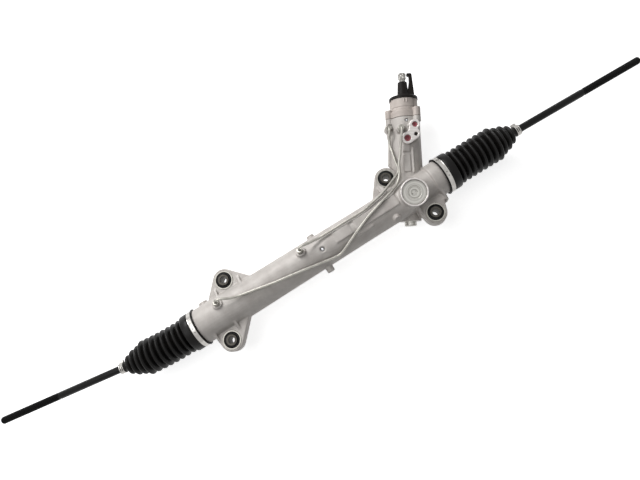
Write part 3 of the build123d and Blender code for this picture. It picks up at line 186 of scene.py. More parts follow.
# %% [markdown]
# ## Floor and world
# The part lies on a plain white ground. More light would make the ground white, but it would bleach the
# part too. So the lamps stay modest, and the ground gets a glow of its own that only the camera sees,
# straight, mirrored or through glass. It lifts the ground to paper white, and the soft shadow under the
# part still shows. The world does the same: full white to the eye, and only a weak light on the part.


# %% World
def sight_level(tree, unseen, seen):
    """A strength of light: one value for what the camera sees, and another for what lights the part."""
    rays = add(tree, "LightPath").outputs
    direct = {0: rays["Is Camera Ray"], 1: rays["Is Glossy Ray"]}
    straight = add(tree, "Math", None, direct, operation="MAXIMUM")
    bent = {0: straight.outputs[0], 1: rays["Is Transmission Ray"]}
    any_way = add(tree, "Math", None, bent, operation="MAXIMUM")
    level = add(tree, "MapRange", {"To Min": unseen, "To Max": seen}, {"Value": any_way.outputs[0]})
    return level.outputs[0]


room_light = 0.12
world = bpy.data.worlds.new("studio")
bpy.context.scene.world = world
world.use_nodes = True
background = world.node_tree.nodes["Background"]
background.inputs["Color"].default_value = linear("ffffff")
brightness = sight_level(world.node_tree, room_light, 1.0)
world.node_tree.links.new(brightness, background.inputs["Strength"])
print("the world lights the part at", room_light, "of what the eye sees of it")

# %% White paper for the floor
own_light = 0.79
paper = bpy.data.materials.new("white_paper")
paper.use_nodes = True
paper_shader = paper.node_tree.nodes["Principled BSDF"]
paper_shader.inputs["Base Color"].default_value = linear("f4f4f4")
paper_shader.inputs["Roughness"].default_value = 0.9
paper_shader.inputs["Specular IOR Level"].default_value = 0.0
paper_shader.inputs["Emission Color"].default_value = linear("ffffff")
glow = sight_level(paper.node_tree, 0.0, own_light)
paper.node_tree.links.new(glow, paper_shader.inputs["Emission Strength"])
print("the paper glows at", own_light)

# %% Floor, just under the part
floor_size = 8.0
floor_height = cad_box[0][2]
floor_mesh = bmesh.new()
bmesh.ops.create_grid(floor_mesh, x_segments=1, y_segments=1, size=floor_size / 2)
bmesh.ops.translate(floor_mesh, verts=floor_mesh.verts, vec=(0, 0, floor_height))
floor_data = bpy.data.meshes.new("floor")
floor_mesh.to_mesh(floor_data)
floor_mesh.free()
floor_data.materials.append(paper)
floor = bpy.data.objects.new("floor", floor_data)
bpy.context.scene.collection.objects.link(floor)
print("floor at", round(floor_height / mm, 1), "mm")

# %% [markdown]
# ## Lamps
# A sun would draw hard shadows, and a ring of lamps would flatten the part. Two square softboxes are
# enough: one rather low at the rear, which models the round shapes and draws the soft shadow towards the
# front, and a weaker and larger one high on the left, which fills that shadow.

# %% Lamps
aim = Vector((0, -0.03, 0))


def softbox(name, place, size, power):
    """A square lamp that looks at the middle of the part, in metres and watts."""
    lamp = bpy.data.objects.new(name, bpy.data.lights.new(name, "AREA"))
    lamp.data.size = size
    lamp.data.energy = power
    lamp.location = place
    lamp.rotation_euler = (aim - Vector(place)).to_track_quat("-Z", "Y").to_euler()
    bpy.context.scene.collection.objects.link(lamp)
    print(name, "stands", round((aim - Vector(place)).length, 2), "m away")


softbox("key_lamp", place=(-0.2, 1.45, 1.1), size=0.8, power=23)
softbox("fill_lamp", place=(-0.9, 0.35, 1.8), size=1.4, power=11)

# %% [markdown]
# ## Aluminium
# Aluminium straight from the die has a thin matt skin: pale grey, faintly mottled by the flow of the
# metal, with a fine sandy grain. It is a metal, but the skin scatters light so much that nine tenths of
# it is drawn as plain diffuse colour. Its corners get painted shade: an ambient occlusion node finds
# them and greys the colour where shade would fall. Turned and milled faces are smoother and carry fine
# tool marks in rings about their own axis.


# %% Cast aluminium
def die_cast_aluminium(name, pale, dark, grain):
    """Cast skin: mottled grey, sandy grain, and painted shade in its corners."""
    flow_size, corner_reach, sand_depth = 28, 9 * mm, 0.12 * mm
    material, tree, shader, place = blank(name, 0.1, 0.5)
    streams = {"Scale": per(flow_size), "Detail": 4.0, "Roughness": 0.6}
    flow = add(tree, "TexNoise", streams, {"Vector": place})
    mottle = add(tree, "ValToRGB", None, {"Fac": flow.outputs["Fac"]})
    mottle.color_ramp.elements[0].position = 0.32
    mottle.color_ramp.elements[0].color = linear(dark)
    mottle.color_ramp.elements[1].position = 0.66
    mottle.color_ramp.elements[1].color = linear(pale)
    # painted shade: an ambient occlusion node greys corners and recesses towards 5d5a55, where shade falls
    corners = add(tree, "AmbientOcclusion", {"Distance": corner_reach}, samples=6)
    fade = {"From Min": 0.25, "From Max": 0.85, "To Min": 0.45, "To Max": 0.0}
    painted_shade = add(tree, "MapRange", fade, {"Value": corners.outputs["AO"]})
    layers = {"Factor": painted_shade.outputs[0], "A": mottle.outputs["Color"]}
    skin = add(tree, "Mix", {"B": linear("5d5a55")}, layers, data_type="RGBA")
    tree.links.new(skin.outputs["Result"], shader.inputs["Base Color"])
    sand = add(tree, "TexNoise", {"Scale": per(grain), "Detail": 3.0}, {"Vector": place})
    shine = add(tree, "MapRange", {"To Min": 0.42, "To Max": 0.62}, {"Value": sand.outputs["Fac"]})
    tree.links.new(shine.outputs[0], shader.inputs["Roughness"])
    relief = add(tree, "Bump", {"Strength": 0.5, "Distance": sand_depth}, {"Height": sand.outputs["Fac"]})
    tree.links.new(relief.outputs["Normal"], shader.inputs["Normal"])
    return material


# the housing's grey skin, and the valve cap's, which came from another die and is a little warmer
cast_skin = die_cast_aluminium("die_cast_aluminium", "cec9c4", "b9b3ae", 0.9)
warm_cast_skin = die_cast_aluminium("warm_cast_aluminium", "cbc1ba", "b5aba4", 0.7)
print("cast finishes:", cast_skin.name, warm_cast_skin.name)

# %% Turned and milled aluminium
# Real tool marks are about a tenth of a millimetre apart, too fine to show here, so the rings are drawn
# some five millimetres apart. A wave texture runs through 20 radians in each unit of its scaled place, and
# a mapping node first carries the object's coordinates onto the axis that the piece was turned about.
wave_radians = 20
mark_depth = 0.05 * mm


def turned_metal(name, pale, dark, roughness, axis_frame, ring_gap, metallic):
    """Metal from the lathe or the mill: rings about the piece's own axis, a gap in millimetres apart."""
    material, tree, shader, place = blank(name, metallic, roughness)
    back = axis_frame.inverted()
    turned = {"Location": back.to_translation(), "Rotation": back.to_euler()}
    centred = add(tree, "Mapping", turned, {"Vector": place}, vector_type="POINT")
    scale = per(ring_gap) * 2 * pi / wave_radians
    wave = {"Scale": scale, "Distortion": 0.6, "Detail": 2.0, "Detail Scale": 1.5}
    middle = {"Vector": centred.outputs["Vector"]}
    rings = add(tree, "TexWave", wave, middle, wave_type="RINGS", rings_direction="Z")
    tone = add(tree, "ValToRGB", None, {"Fac": rings.outputs["Fac"]})
    tone.color_ramp.elements[0].color = linear(dark)
    tone.color_ramp.elements[1].color = linear(pale)
    tree.links.new(tone.outputs["Color"], shader.inputs["Base Color"])
    relief = add(tree, "Bump", {"Strength": 0.35, "Distance": mark_depth}, {"Height": rings.outputs["Fac"]})
    tree.links.new(relief.outputs["Normal"], shader.inputs["Normal"])
    return material


# a turned cap is the shinier one; a milled face is paler, because its marks scatter the light
turned_aluminium = turned_metal("turned_aluminium", "cfcdc7", "b5b3ad", 0.34, yoke_frame, 5.03, 0.6)
milled_aluminium = turned_metal("milled_aluminium", "ebe6e3", "dcd7d3", 0.4, port_frame, 5.65, 0.4)
print("machined finishes:", turned_aluminium.name, milled_aluminium.name)

# %% [markdown]
# ## Steels
# Steel comes here in several coats. The pipes, nuts and bolts are zinc plated, a warm grey with faint
# clouds. Ground shafts are bright, and the bushes' sleeves are phosphated to a dark grey. The tie rods and
# sockets are blackened: dark, a little glossy, with a faint orange peel in the coat. All of them are soft
# clouds in tone and gloss over a fine grain, so two helpers draw those, and each steel says how much.


# %% Clouds and grain
def cloud(tree, shader, place, size, detail, blend, tones, stops, gloss):
    """Clouds of a size in millimetres, which carry a coat's tone and its roughness from low to high."""
    patches = {"Scale": per(size), "Detail": detail, "Roughness": blend}
    haze = add(tree, "TexNoise", patches, {"Vector": place})
    tone = add(tree, "ValToRGB", None, {"Fac": haze.outputs["Fac"]})
    for mark, stop, colour in zip(tone.color_ramp.elements, stops, tones):
        mark.position = stop
        mark.color = linear(colour)
    tree.links.new(tone.outputs["Color"], shader.inputs["Base Color"])
    shine = add(tree, "MapRange", {"To Min": gloss[0], "To Max": gloss[1]}, {"Value": haze.outputs["Fac"]})
    tree.links.new(shine.outputs[0], shader.inputs["Roughness"])


def grained(tree, shader, place, size, strength, depth):
    """A fine relief of a size and depth in millimetres, in the shading alone."""
    specks = add(tree, "TexNoise", {"Scale": per(size), "Detail": 2.0}, {"Vector": place})
    bump = {"Strength": strength, "Distance": depth * mm}
    relief = add(tree, "Bump", bump, {"Height": specks.outputs["Fac"]})
    tree.links.new(relief.outputs["Normal"], shader.inputs["Normal"])


print("clouds of 7 mm have a texture scale of", round(per(7)))


# %% Steels
def plated_steel(name, pale, dark, roughness, patch):
    """Zinc, phosphate or bright steel: soft clouds in tone and gloss, with a fine grain."""
    material, tree, shader, place = blank(name, 1.0, roughness)
    gloss = (roughness * 0.7, roughness * 1.4)
    cloud(tree, shader, place, patch, 4.0, 0.65, (dark, pale), (0.35, 0.65), gloss)
    grained(tree, shader, place, 0.5, 0.25, 0.03)
    return material


def blackened_steel(name):
    """Black coated steel: the coat hides the metal, so it is drawn as a dark and little shiny paint."""
    material, tree, shader, place = blank(name, 0.0, 0.38)
    shader.inputs["Specular IOR Level"].default_value = 0.16
    cloud(tree, shader, place, 6, 5.0, 0.7, ("060606", "121212"), (0.4, 0.8), (0.3, 0.5))
    grained(tree, shader, place, 1.2, 0.3, 0.05)
    return material


# name, pale and dark tone, roughness, size of the clouds; a lower roughness gives sharper reflections
zinc_plate = plated_steel("zinc_plated_steel", "a9a7a0", "928f89", 0.42, 7)  # half matt, faintly clouded
ground_steel = plated_steel("ground_steel", "a09e9a", "7f7d79", 0.26, 5)  # bright, with long highlights
grey_steel = plated_steel("phosphated_steel", "55524d", "403e3a", 0.5, 4)  # dark and dull
bearing_steel = plated_steel("hardened_steel", "c9cacc", "a2a3a5", 0.16, 9)  # nearly a mirror
stainless_band = plated_steel("stainless_band", "bab8b4", "a29f9b", 0.24, 16)  # bright rolled strip
black_steel = blackened_steel("blackened_steel")  # black, with a thin sheen
steels = (zinc_plate, ground_steel, grey_steel, bearing_steel, stainless_band, black_steel)
print("steels:", [steel.name for steel in steels])

# %% [markdown]
# ## Rubber and plastics
# The bellows are moulded rubber filled with carbon black: very dark, with a soft sheen rather than a
# gloss, and a faint grey bloom in patches. The small plastic pieces are moulded too, so they share one
# kind of surface with their own colours.


# %% Rubber and plastics
def moulded(name, pale, dark, roughness, patch, grain, depth, specular=0.5):
    """Moulded rubber or plastic: a faint bloom in patches and a fine grain, in millimetres."""
    material, tree, shader, place = blank(name, 0.0, roughness)
    shader.inputs["Specular IOR Level"].default_value = specular
    gloss = (roughness * 0.8, roughness * 1.25)
    cloud(tree, shader, place, patch, 5.0, 0.6, (dark, pale), (0.38, 0.72), gloss)
    grained(tree, shader, place, grain, 0.4, depth)
    return material


# name, pale and dark tone, roughness, size of the patches, size and depth of the grain, specular level;
# carbon black swallows light, so the black ones have a lower specular level than a clean plastic
boot_rubber = moulded("carbon_black_rubber", "110f0e", "080706", 0.38, 22, 0.8, 0.06, 0.18)  # soft sheen
bush_rubber = moulded("bush_rubber", "151414", "0b0b0b", 0.6, 8, 0.5, 0.08, 0.25)  # dull
black_plastic = moulded("black_nylon", "1b1613", "110d0b", 0.5, 9, 0.6, 0.05, 0.14)  # brownish, matt
red_plastic = moulded("dark_red_polyethylene", "cc7a80", "a85a62", 0.32, 5, 0.5, 0.04)  # waxy red
off_white_plastic = moulded("acetal", "e6e3d8", "d2cfc3", 0.35, 6, 0.5, 0.02)  # creamy and smooth
green_liner = moulded("ptfe_liner", "a3b5a8", "83968a", 0.4, 3, 0.4, 0.03)  # waxy grey green
brown_plastic = moulded("bronze_filled_ptfe", "96877a", "77695c", 0.4, 3, 0.4, 0.03)  # waxy brown
rubbers = (boot_rubber, bush_rubber)
plastics = (black_plastic, red_plastic, off_white_plastic, green_liner, brown_plastic)
print("soft finishes:", [finish.name for finish in rubbers + plastics])

# %% [markdown]
# ## Turning a mesh into a piece
# A mesh that is being worked on lives in a bmesh. When it is done, one function merges its doubles and
# recalculates its outward side if it was spun or mirrored, stores it at the origin, gives it its finish
# and shades it smooth up to a crease angle. Round pieces start from an outline, and the spin operator
# turns it about the piece's line, which is closer to the lathe than stacking cylinders would be.

# %% Helpers for finished and for turned pieces
weld = 0.002 * mm


def piece(name, work, material, crease=35, outward=True):
    """Store a bmesh as a finished object at the origin, smooth but for its sharp edges."""
    if outward:
        bmesh.ops.remove_doubles(work, verts=work.verts, dist=weld)
        bmesh.ops.recalc_face_normals(work, faces=work.faces)
    for face in work.faces:
        face.smooth = True
    data = bpy.data.meshes.new(name)
    work.to_mesh(data)
    work.free()
    data.set_sharp_from_angle(angle=radians(crease))
    data.materials.append(material)
    finished = bpy.data.objects.new(name, data)
    bpy.context.scene.collection.objects.link(finished)
    return finished


def in_metres(outline):
    """An outline of (station, radius) given in millimetres, in metres."""
    return [(station * mm, radius * mm) for station, radius in outline]


def turn_profile(work, outline, steps, axis_frame, closed=True):
    """Spin an outline of (station, radius) points in a full turn about the frame's Z axis."""
    points = [work.verts.new(axis_frame @ Vector((radius, 0, station))) for station, radius in outline]
    ends = points[1:] + points[:1] if closed else points[1:]
    edges = [work.edges.new(pair) for pair in zip(points, ends)]
    bmesh.ops.spin(
        work,
        geom=points + edges,
        cent=axis_frame.translation,
        axis=axis_frame.to_3x3() @ Vector((0, 0, 1)),
        dvec=(0, 0, 0),
        angle=2 * pi,
        steps=steps,
        use_merge=True,
        use_duplicate=False,
    )


print("corners closer than", round(weld / mm, 3), "mm are merged")

# %% [markdown]
# ## The bellows
# Each boot is a moulded rubber tube of eleven pleats that tapers to a cuff on the tie rod. A pleat could
# be drawn point by point, but a round crest between two narrow folds is just what a cosine gives, so a
# loop draws them all. The wide end has a lip, a collar under the band, and a plain block that stiffens it.

# %% The outline of a boot, in millimetres
pleat_pitch = 11.8
first_crest = 35.5
crest_radii = [34] * 8 + [28.5, 25, 18.8]
fold_radii = [27] * 8 + [24, 20.5, 15, 10.4]
boot_wall = 1.7
lip_radius, collar_radius, block_radius, neck_radius, cuff_radius = 37.8, 35.5, 36.5, 33, 9.4
cuff_start, cuff_end = 2.6, 15.9  # from the last fold
last_fold = first_crest + (len(crest_radii) - 0.5) * pleat_pitch
boot_length = last_fold + cuff_end
steps_per_pleat, steps_round = 14, 96
pleat_sharpness = 1.2


def boot_outline():
    """The outer line of a boot, as (station, radius)."""
    line = [(0, lip_radius - 0.5), (0.4, lip_radius), (1.3, lip_radius), (1.9, collar_radius)]
    line += [(12.2, collar_radius), (12.9, block_radius - 0.4), (14.4, block_radius), (25, block_radius)]
    line += [(26.6, block_radius - 0.7), (27.8, neck_radius), (29, 28.4)]
    for number, crest in enumerate(crest_radii):
        middle = first_crest + number * pleat_pitch
        for step in range(steps_per_pleat + 1):
            share = step / steps_per_pleat - 0.5
            fold = fold_radii[number] if share < 0 else fold_radii[number + 1]
            height = cos(pi * share) ** pleat_sharpness if abs(share) < 0.5 else 0
            line.append((middle + share * pleat_pitch, fold + (crest - fold) * height))
    line += [(last_fold + 1.5, cuff_radius + 0.4), (last_fold + cuff_start, cuff_radius)]
    line += [(boot_length - 0.5, cuff_radius), (boot_length, cuff_radius - 0.5)]
    return line


print("a boot is", round(boot_length, 1), "mm long, from", len(boot_outline()), "points")

# %% [markdown]
# ## Bending a boot
# The tie rods leave the rack at a small angle, so a boot is a turned shape that has been bent. A lattice
# or a curve modifier could bend it, but here each ring is simply carried onto the bent line by its own
# matrix, which is exact and leaves nothing live. The line is straight on the housing, turns evenly over a
# short stretch on either side of the ball, and is straight again along the rod.

# %% The bent line of a boot
side_signs = {"left": -1, "right": 1}
shoulders = {"left": 270 * mm, "right": 261 * mm}  # from the rack's middle to the boot's wide end
rod_turns = {"left": radians(8.4), "right": radians(-2)}
bend_half = 47.5 * mm
seam_slack = 0.01


def on_bend(side, station):
    """The matrix that carries a boot's ring at a station in millimetres onto its bent line."""
    way, slope = side_signs[side], tan(rod_turns[side])
    reach = shoulders[side] + station * mm
    share = min(max((reach - ball_reach + bend_half) / (2 * bend_half), 0), 1)
    aside = bend_half * share * share * slope + max(reach - ball_reach - bend_half, 0) * slope
    centre = rack_middle + Vector((way * reach, aside, 0))
    return onto(centre, Vector((0, 0, 1)), Vector((way, share * slope, 0)))


def boot_part(side, start, end, name):
    """One length of a boot between two stations, walled and bent."""
    outer = [point for point in boot_outline() if start - seam_slack <= point[0] <= end + seam_slack]
    unique = [point for number, point in enumerate(outer) if number == 0 or point[0] > outer[number - 1][0]]
    inner = [(station, radius - boot_wall) for station, radius in reversed(unique)]
    work = bmesh.new()
    turn_profile(work, unique + inner, steps_round, Matrix())
    for vertex in work.verts:
        station = vertex.co.z
        ring_point = Vector((vertex.co.x, vertex.co.y, 0)) * mm
        vertex.co = on_bend(side, station) @ ring_point
    return piece(name, work, boot_rubber, crease=60)


for side, rod_turn in rod_turns.items():
    print("the", side, "boot bends by", round(degrees(abs(rod_turn)), 1), "degrees")

# %% [markdown]
# ## The boots in four lengths
# The rack slides and the rod swings inside a boot, so each boot is made in four lengths, which meet on
# crests, where the rubber runs level and a seam doesn't show. The first three stay where they are made,
# and the cuff rides the ball. The first is one and a half times as long as the rack's 70 mm of travel.

# %% Both boots
slide_end, swing_end, tilt_end = (first_crest + number * pleat_pitch for number in (6, 7, 8))
seams = [0, slide_end, swing_end, tilt_end, boot_length]
for side in side_signs:
    names = [f"boot_{side}_pleats", f"boot_{side}_swing_fold", f"boot_{side}_tilt_fold", f"boot_{side}_cuff"]
    lengths = [boot_part(side, start, end, name) for start, end, name in zip(seams, seams[1:], names)]
    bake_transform(lengths[0])
    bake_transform(lengths[1])
    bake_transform(lengths[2])
    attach(lengths[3], f"ball_{side}")
    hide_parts(f"boot_{side}")
    print("boot pieces:", names)

# %% [markdown]
# ## The bands
# A stainless band holds each end of each boot. It is a strip that goes round once and ends in a pinched
# ear, with its edges rolled up a little and a few slots punched through it. Cutting slots with a boolean
# is slow and leaves slivers. Here the strip's cross-line is spun about the boot's line, the faces in the
# slots are deleted, the ear's legs are extruded from the two ends and bridged over the top, and only then
# the sheet gets its thickness.

# %% The strip that a band is made from
band_wall, band_width = 0.8 * mm, 8.5 * mm
ear_width, ear_height = 3.2 * mm, 3.8 * mm
rolled = 0.25 * mm
cross_line = [(-0.5, rolled), (-0.42, 0), (-0.3, 0), (-0.1, 0), (0.1, 0), (0.3, 0), (0.42, 0), (0.5, rolled)]
slot_half_share = 0.1


def chain(work, points):
    """A row of vertices joined by edges."""
    verts = [work.verts.new(point) for point in points]
    return verts, [work.edges.new(pair) for pair in zip(verts, verts[1:])]


def in_slot(face, punches):
    """Whether a face of a strip lies in a slot, given by its turn, its share across and its half length."""
    centre = face.calc_center_median()
    turn, share = degrees(atan2(centre.y, centre.x)), centre.z / band_width
    return any(abs(turn - at) < half and abs(share - row) < slot_half_share for at, row, half in punches)


def only(wanted, items):
    """The items of one kind, such as edges, out of what an operator returned."""
    return [item for item in items if isinstance(item, wanted)]


print("the strip is", round(band_width / mm, 1), "mm wide and", round(band_wall / mm, 1), "mm thick")


# %% A band with its ear and slots
def band(name, matrix, radius, ear_turn, punches, steps):
    """A band about the matrix's Z axis, with its pinched ear at a turn from the matrix's X axis."""
    work = bmesh.new()
    half_ear = asin(ear_width / 2 / radius)
    turned = Matrix.Rotation(ear_turn + half_ear, 4, "Z")
    line = [turned @ Vector((radius + rise, 0, share * band_width)) for share, rise in cross_line]
    verts, start = chain(work, line)
    spun = bmesh.ops.spin(
        work,
        geom=verts + start,
        cent=(0, 0, 0),
        axis=(0, 0, 1),
        dvec=(0, 0, 0),
        angle=2 * pi - 2 * half_ear,
        steps=steps,
        use_merge=False,
        use_duplicate=False,
    )
    finish = only(bmesh.types.BMEdge, spun["geom_last"])
    punched = [face for face in work.faces if in_slot(face, punches)]
    bmesh.ops.delete(work, geom=punched, context="FACES")
    ear_way = Matrix.Rotation(ear_turn, 4, "Z") @ Vector((1, 0, 0))
    tops = []
    for edges in (start, finish):
        grown = bmesh.ops.extrude_edge_only(work, edges=edges)["geom"]
        risen = only(bmesh.types.BMVert, grown)
        bmesh.ops.translate(work, verts=risen, vec=ear_way * ear_height)
        tops += [edge for edge in only(bmesh.types.BMEdge, grown) if set(edge.verts) <= set(risen)]
    bmesh.ops.bridge_loops(work, edges=tops)
    bmesh.ops.recalc_face_normals(work, faces=work.faces)
    sample = max(work.faces, key=lambda face: face.calc_center_median().dot(-ear_way))
    if sample.normal.dot(-ear_way) < 0:
        bmesh.ops.reverse_faces(work, faces=work.faces)
    bmesh.ops.solidify(work, geom=work.faces, thickness=-band_wall)
    bmesh.ops.transform(work, matrix=matrix, verts=work.verts)
    return piece(name, work, stainless_band, crease=40)


print("a band's ear stands", round(ear_height / mm, 1), "mm proud")

# %% [markdown]
# ## Fitting the bands
# The large bands sit on the collars and stay with the housing, with their ears underneath. The small ones
# sit on the cuffs and turn with the rods, with their ears to the rear. The slots' places are seen from
# above and are not the same on both sides, because each band was tightened where it happened to be.

# %% Large and small bands
large_at, large_radius, large_ear = 6.7, (collar_radius + 0.4) * mm, radians(180)
small_at, small_radius, small_ear = 169.0, (cuff_radius + 0.35) * mm, radians(-90)
large_punches = {"left": [(-3, 0, 1.3), (-15, 0, 1.3)], "right": [(8, 0, 1.3), (20, 0, 1.3)]}
small_punches = {"left": [(-10, -0.2, 22), (-10, 0.2, 22)], "right": [(10, -0.2, 22), (10, 0.2, 22)]}
large_steps, small_steps = 144, 54
for side, sign in side_signs.items():
    large_place, small_place = on_bend(side, large_at), on_bend(side, small_at)
    large = band(f"large_band_{side}", large_place, large_radius, large_ear, large_punches[side], large_steps)
    ear = small_ear * sign
    small = band(f"small_band_{side}", small_place, small_radius, ear, small_punches[side], small_steps)
    fits = ((large, "housing", "large_clamps"), (small, f"rod_{side}", f"small_clamp_{side}"))
    for strap, body, node in fits:
        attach(strap, body)
        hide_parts(node)
        print(strap.name, "has", len(strap.data.polygons), "faces")

# %% [markdown]
# ## The tie rods
# Each tie rod is a plain black bar with a fine thread over its outer third, where the track is adjusted.
# Rings stacked along the bar would look like a thread from afar, but they don't climb. Here a small
# triangle is spun round and along at once: the spin takes a step along the axis with each step of turn,
# so that one full turn moves it by one pitch.

# %% Tie rods with their threads
rod_outline = [(2.1, 0), (2.1, 6), (16, 6), (20, 7), (219, 7), (221, 6.15), (342, 6.15), (343, 5.2), (343, 0)]
thread_pitch, thread_half = 1.5, 0.68
thread_start, thread_turns = 222.5, 79
thread_root, thread_crest = 6.1, 6.98
thread_steps, rod_steps = 24, 48
for side, sign in side_signs.items():
    rod_way = Vector((sign * cos(rod_turns[side]), sin(rod_turns[side]), 0))
    rod_frame = onto(rack_middle + Vector((sign * ball_reach, 0, 0)), Vector((0, 0, 1)), rod_way)
    work = bmesh.new()
    turn_profile(work, in_metres(rod_outline), rod_steps, rod_frame, closed=False)
    bmesh.ops.remove_doubles(work, verts=work.verts, dist=weld)
    corners = [
        rod_frame @ Vector((radius * mm, 0, (thread_start + offset) * mm))
        for offset, radius in ((-thread_half, thread_root), (0, thread_crest), (thread_half, thread_root))
    ]
    triangle = [work.verts.new(corner) for corner in corners]
    sides = [work.edges.new(pair) for pair in zip(triangle, triangle[1:] + triangle[:1])]
    bmesh.ops.spin(
        work,
        geom=triangle + sides,
        cent=rod_frame.translation,
        axis=rod_way,
        dvec=rod_way * thread_pitch * mm / thread_steps,
        angle=2 * pi * thread_turns,
        steps=thread_steps * thread_turns,
        use_merge=False,
        use_duplicate=False,
    )
    open_ends = [edge for edge in work.edges if edge.is_boundary]
    bmesh.ops.holes_fill(work, edges=open_ends, sides=4)
    rod = piece(f"threaded_rod_{side}", work, black_steel, crease=30)
    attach(rod, f"rod_{side}")
    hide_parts(f"tie_rod_{side}")
    print(rod.name, "has", len(rod.data.polygons), "faces")

# %% [markdown]
# ## Cast and moulded skins
# The housing is cast in a steel die, so none of its outer edges is sharp and every root has a fillet.
# Rounding hundreds of edges one by one is slow and fragile. Here the solid is taken as one closed body
# instead, rebuilt from small cubes, smoothed, and thinned out again where it is flat, which rounds edges
# and roots together, as the die does. The valve's cap and the moulded collar get the same, with finer
# cubes because they are smaller. Two short ribs join the cap before that, so that they melt into its skin.

# %% Standing for a node
slot_of = {entry["node"]: entry["material_slot"] for entry in frame["record"]["subparts"]}
body_of = {node: body for body, nodes in frame["record"]["behaviour"]["bodies"].items() for node in nodes}
solid_weld = 0.003 * mm


def dress(made, node):
    """Let a piece stand for a node: same body, and the node hidden."""
    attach(made, body_of[node])
    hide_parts(node)


def solid_copy(node):
    """A copy of a node's mesh with its loose triangles joined at their corners."""
    work = bmesh.new()
    work.from_mesh(frame["nodes"][node].data)
    bmesh.ops.remove_doubles(work, verts=work.verts, dist=solid_weld)
    return work


print("finishes named in the record:", len(set(slot_of.values())))


# %% Castings and mouldings
def rounded(node, name, material, voxel, passes, keep, blocks=()):
    """A node as a casting or moulding: rebuilt from cubes of a size in millimetres, smoothed and thinned."""
    work = solid_copy(node)
    for matrix in blocks:
        bmesh.ops.create_cube(work, size=1, matrix=matrix)
    made = piece(name, work, material, outward=False)
    cubes = made.modifiers.new("cubes", "REMESH")
    cubes.mode = "VOXEL"
    cubes.voxel_size = voxel * mm
    soften = made.modifiers.new("soften", "SMOOTH")
    soften.factor = 0.5
    soften.iterations = passes
    thin = made.modifiers.new("thin", "DECIMATE")
    thin.ratio = keep
    bpy.context.view_layer.update()
    graph = bpy.context.evaluated_depsgraph_get()
    shaped = bpy.data.meshes.new_from_object(made.evaluated_get(graph))
    made.modifiers.clear()
    made.data = shaped
    for polygon in shaped.polygons:
        polygon.use_smooth = True
    if not shaped.materials:
        shaped.materials.append(material)
    dress(made, node)
    print(name, "has", len(shaped.polygons), "faces")
    return made


mark_reach, mark_aside, mark_at = 26.2, 2.6, 181.0  # above the shaft, beside it and along it
mark_shape = Matrix.Diagonal((*(Vector((3.0, 1.6, 7.0)) * mm), 1))
cap_marks = [
    shaft_frame @ Matrix.Translation(Vector((mark_reach, aside, mark_at)) * mm) @ mark_shape
    for aside in (-mark_aside, mark_aside)
]
casting = rounded("gear_housing", "cast_housing", cast_skin, voxel=1.1, passes=5, keep=0.31)
rounded("valve_housing", "cast_cap", warm_cast_skin, voxel=0.6, passes=4, keep=0.5, blocks=cap_marks)
rounded("alignment_collar", "moulded_collar", black_plastic, voxel=0.45, passes=3, keep=0.6)

# %% [markdown]
# ## Machined faces on the casting
# A few faces are milled after casting and stay bright: the hydraulic port's face and the rim of the yoke's
# boss. They could be pieces of their own, but on the real gear they are the same metal, so the casting
# gets a second material on the faces that lie in those planes and look the right way.

# %% Machined faces
port_height, port_start, port_end = 36 * mm, 80 * mm, 150 * mm
yoke_height, yoke_rim = 50 * mm, 27 * mm
plane_slack, facing = 1.2 * mm, 0.8
port_inverse, yoke_inverse = port_frame.inverted(), yoke_frame.inverted()
casting.data.materials.append(milled_aluminium)
for polygon in casting.data.polygons:
    at_port, at_yoke = port_inverse @ polygon.center, yoke_inverse @ polygon.center
    on_port = abs(at_port.z - port_height) < plane_slack and port_start < at_port.x < port_end
    on_yoke = abs(at_yoke.z - yoke_height) < plane_slack and at_yoke.xy.length < yoke_rim
    if (on_port or on_yoke) and polygon.normal.dot(upwards) > facing:
        polygon.material_index = 1
print("machined faces:", sum(polygon.material_index for polygon in casting.data.polygons))

# %% [markdown]
# ## Turned pieces
# The bushes, the two threaded caps, the dust cover and the red transport plugs all come off a lathe or
# out of a round mould. A cylinder with a bevel modifier would do for the simplest, but not for a groove
# or a bulge, so each is an outline spun about its own axis, with its corners broken in the outline
# itself. The rubber of a bush bulges out round its sleeve, because it was pressed in.

# %% Outlines of the turned pieces, in millimetres along the axis and out from it
sleeve_line = [(0, 6.6), (0.4, 6.2), (29.6, 6.2), (30, 6.7), (30, 9.9), (29.4, 10.5), (0.6, 10.5), (0, 9.9)]
rubber_line = [
    (3, 10.6), (3, 14.9), (23.4, 14.9), (25, 14.6), (26.2, 13.8), (26.8, 12.6), (27, 11.6), (26.6, 10.9),
    (25.6, 10.6),
]
shell_line = [
    (4, 15), (4, 16.2), (26, 16.2), (26, 17.5), (26.3, 17.8), (26.9, 17.8), (27.2, 17.5), (27.2, 15.4),
    (26.8, 15),
]
plug_line = [
    (36, 0), (36, 9.5), (32.5, 9.5), (32.5, 21.6), (33.3, 22.4), (46.2, 22.4), (47, 21.6), (47, 13),
    (46.6, 12.6), (44.8, 12.4), (44.5, 12.1), (44.5, 10.3), (44.8, 10), (45.7, 10), (46, 9.7), (46, 7.4),
]
bottom_line = [
    (-57, 0), (-57, 10.3), (-56.7, 11), (-56, 11.5), (-48, 11.5), (-48, 16.9), (-47.5, 17.4), (-39.2, 17.4),
    (-39.2, 16), (-33.2, 16), (-33.2, 13.35), (-46.6, 13.35), (-46.6, 0),
]
cover_line = [
    (188.2, 13.3), (194.2, 13.3), (194.5, 13.7), (194.5, 16.2), (193.4, 17.4), (192.6, 23.6), (192.6, 25.2),
    (192.2, 26.6), (191.2, 27.4), (186.4, 27.5), (186, 27.2), (186, 26.6), (188.2, 26.6),
]


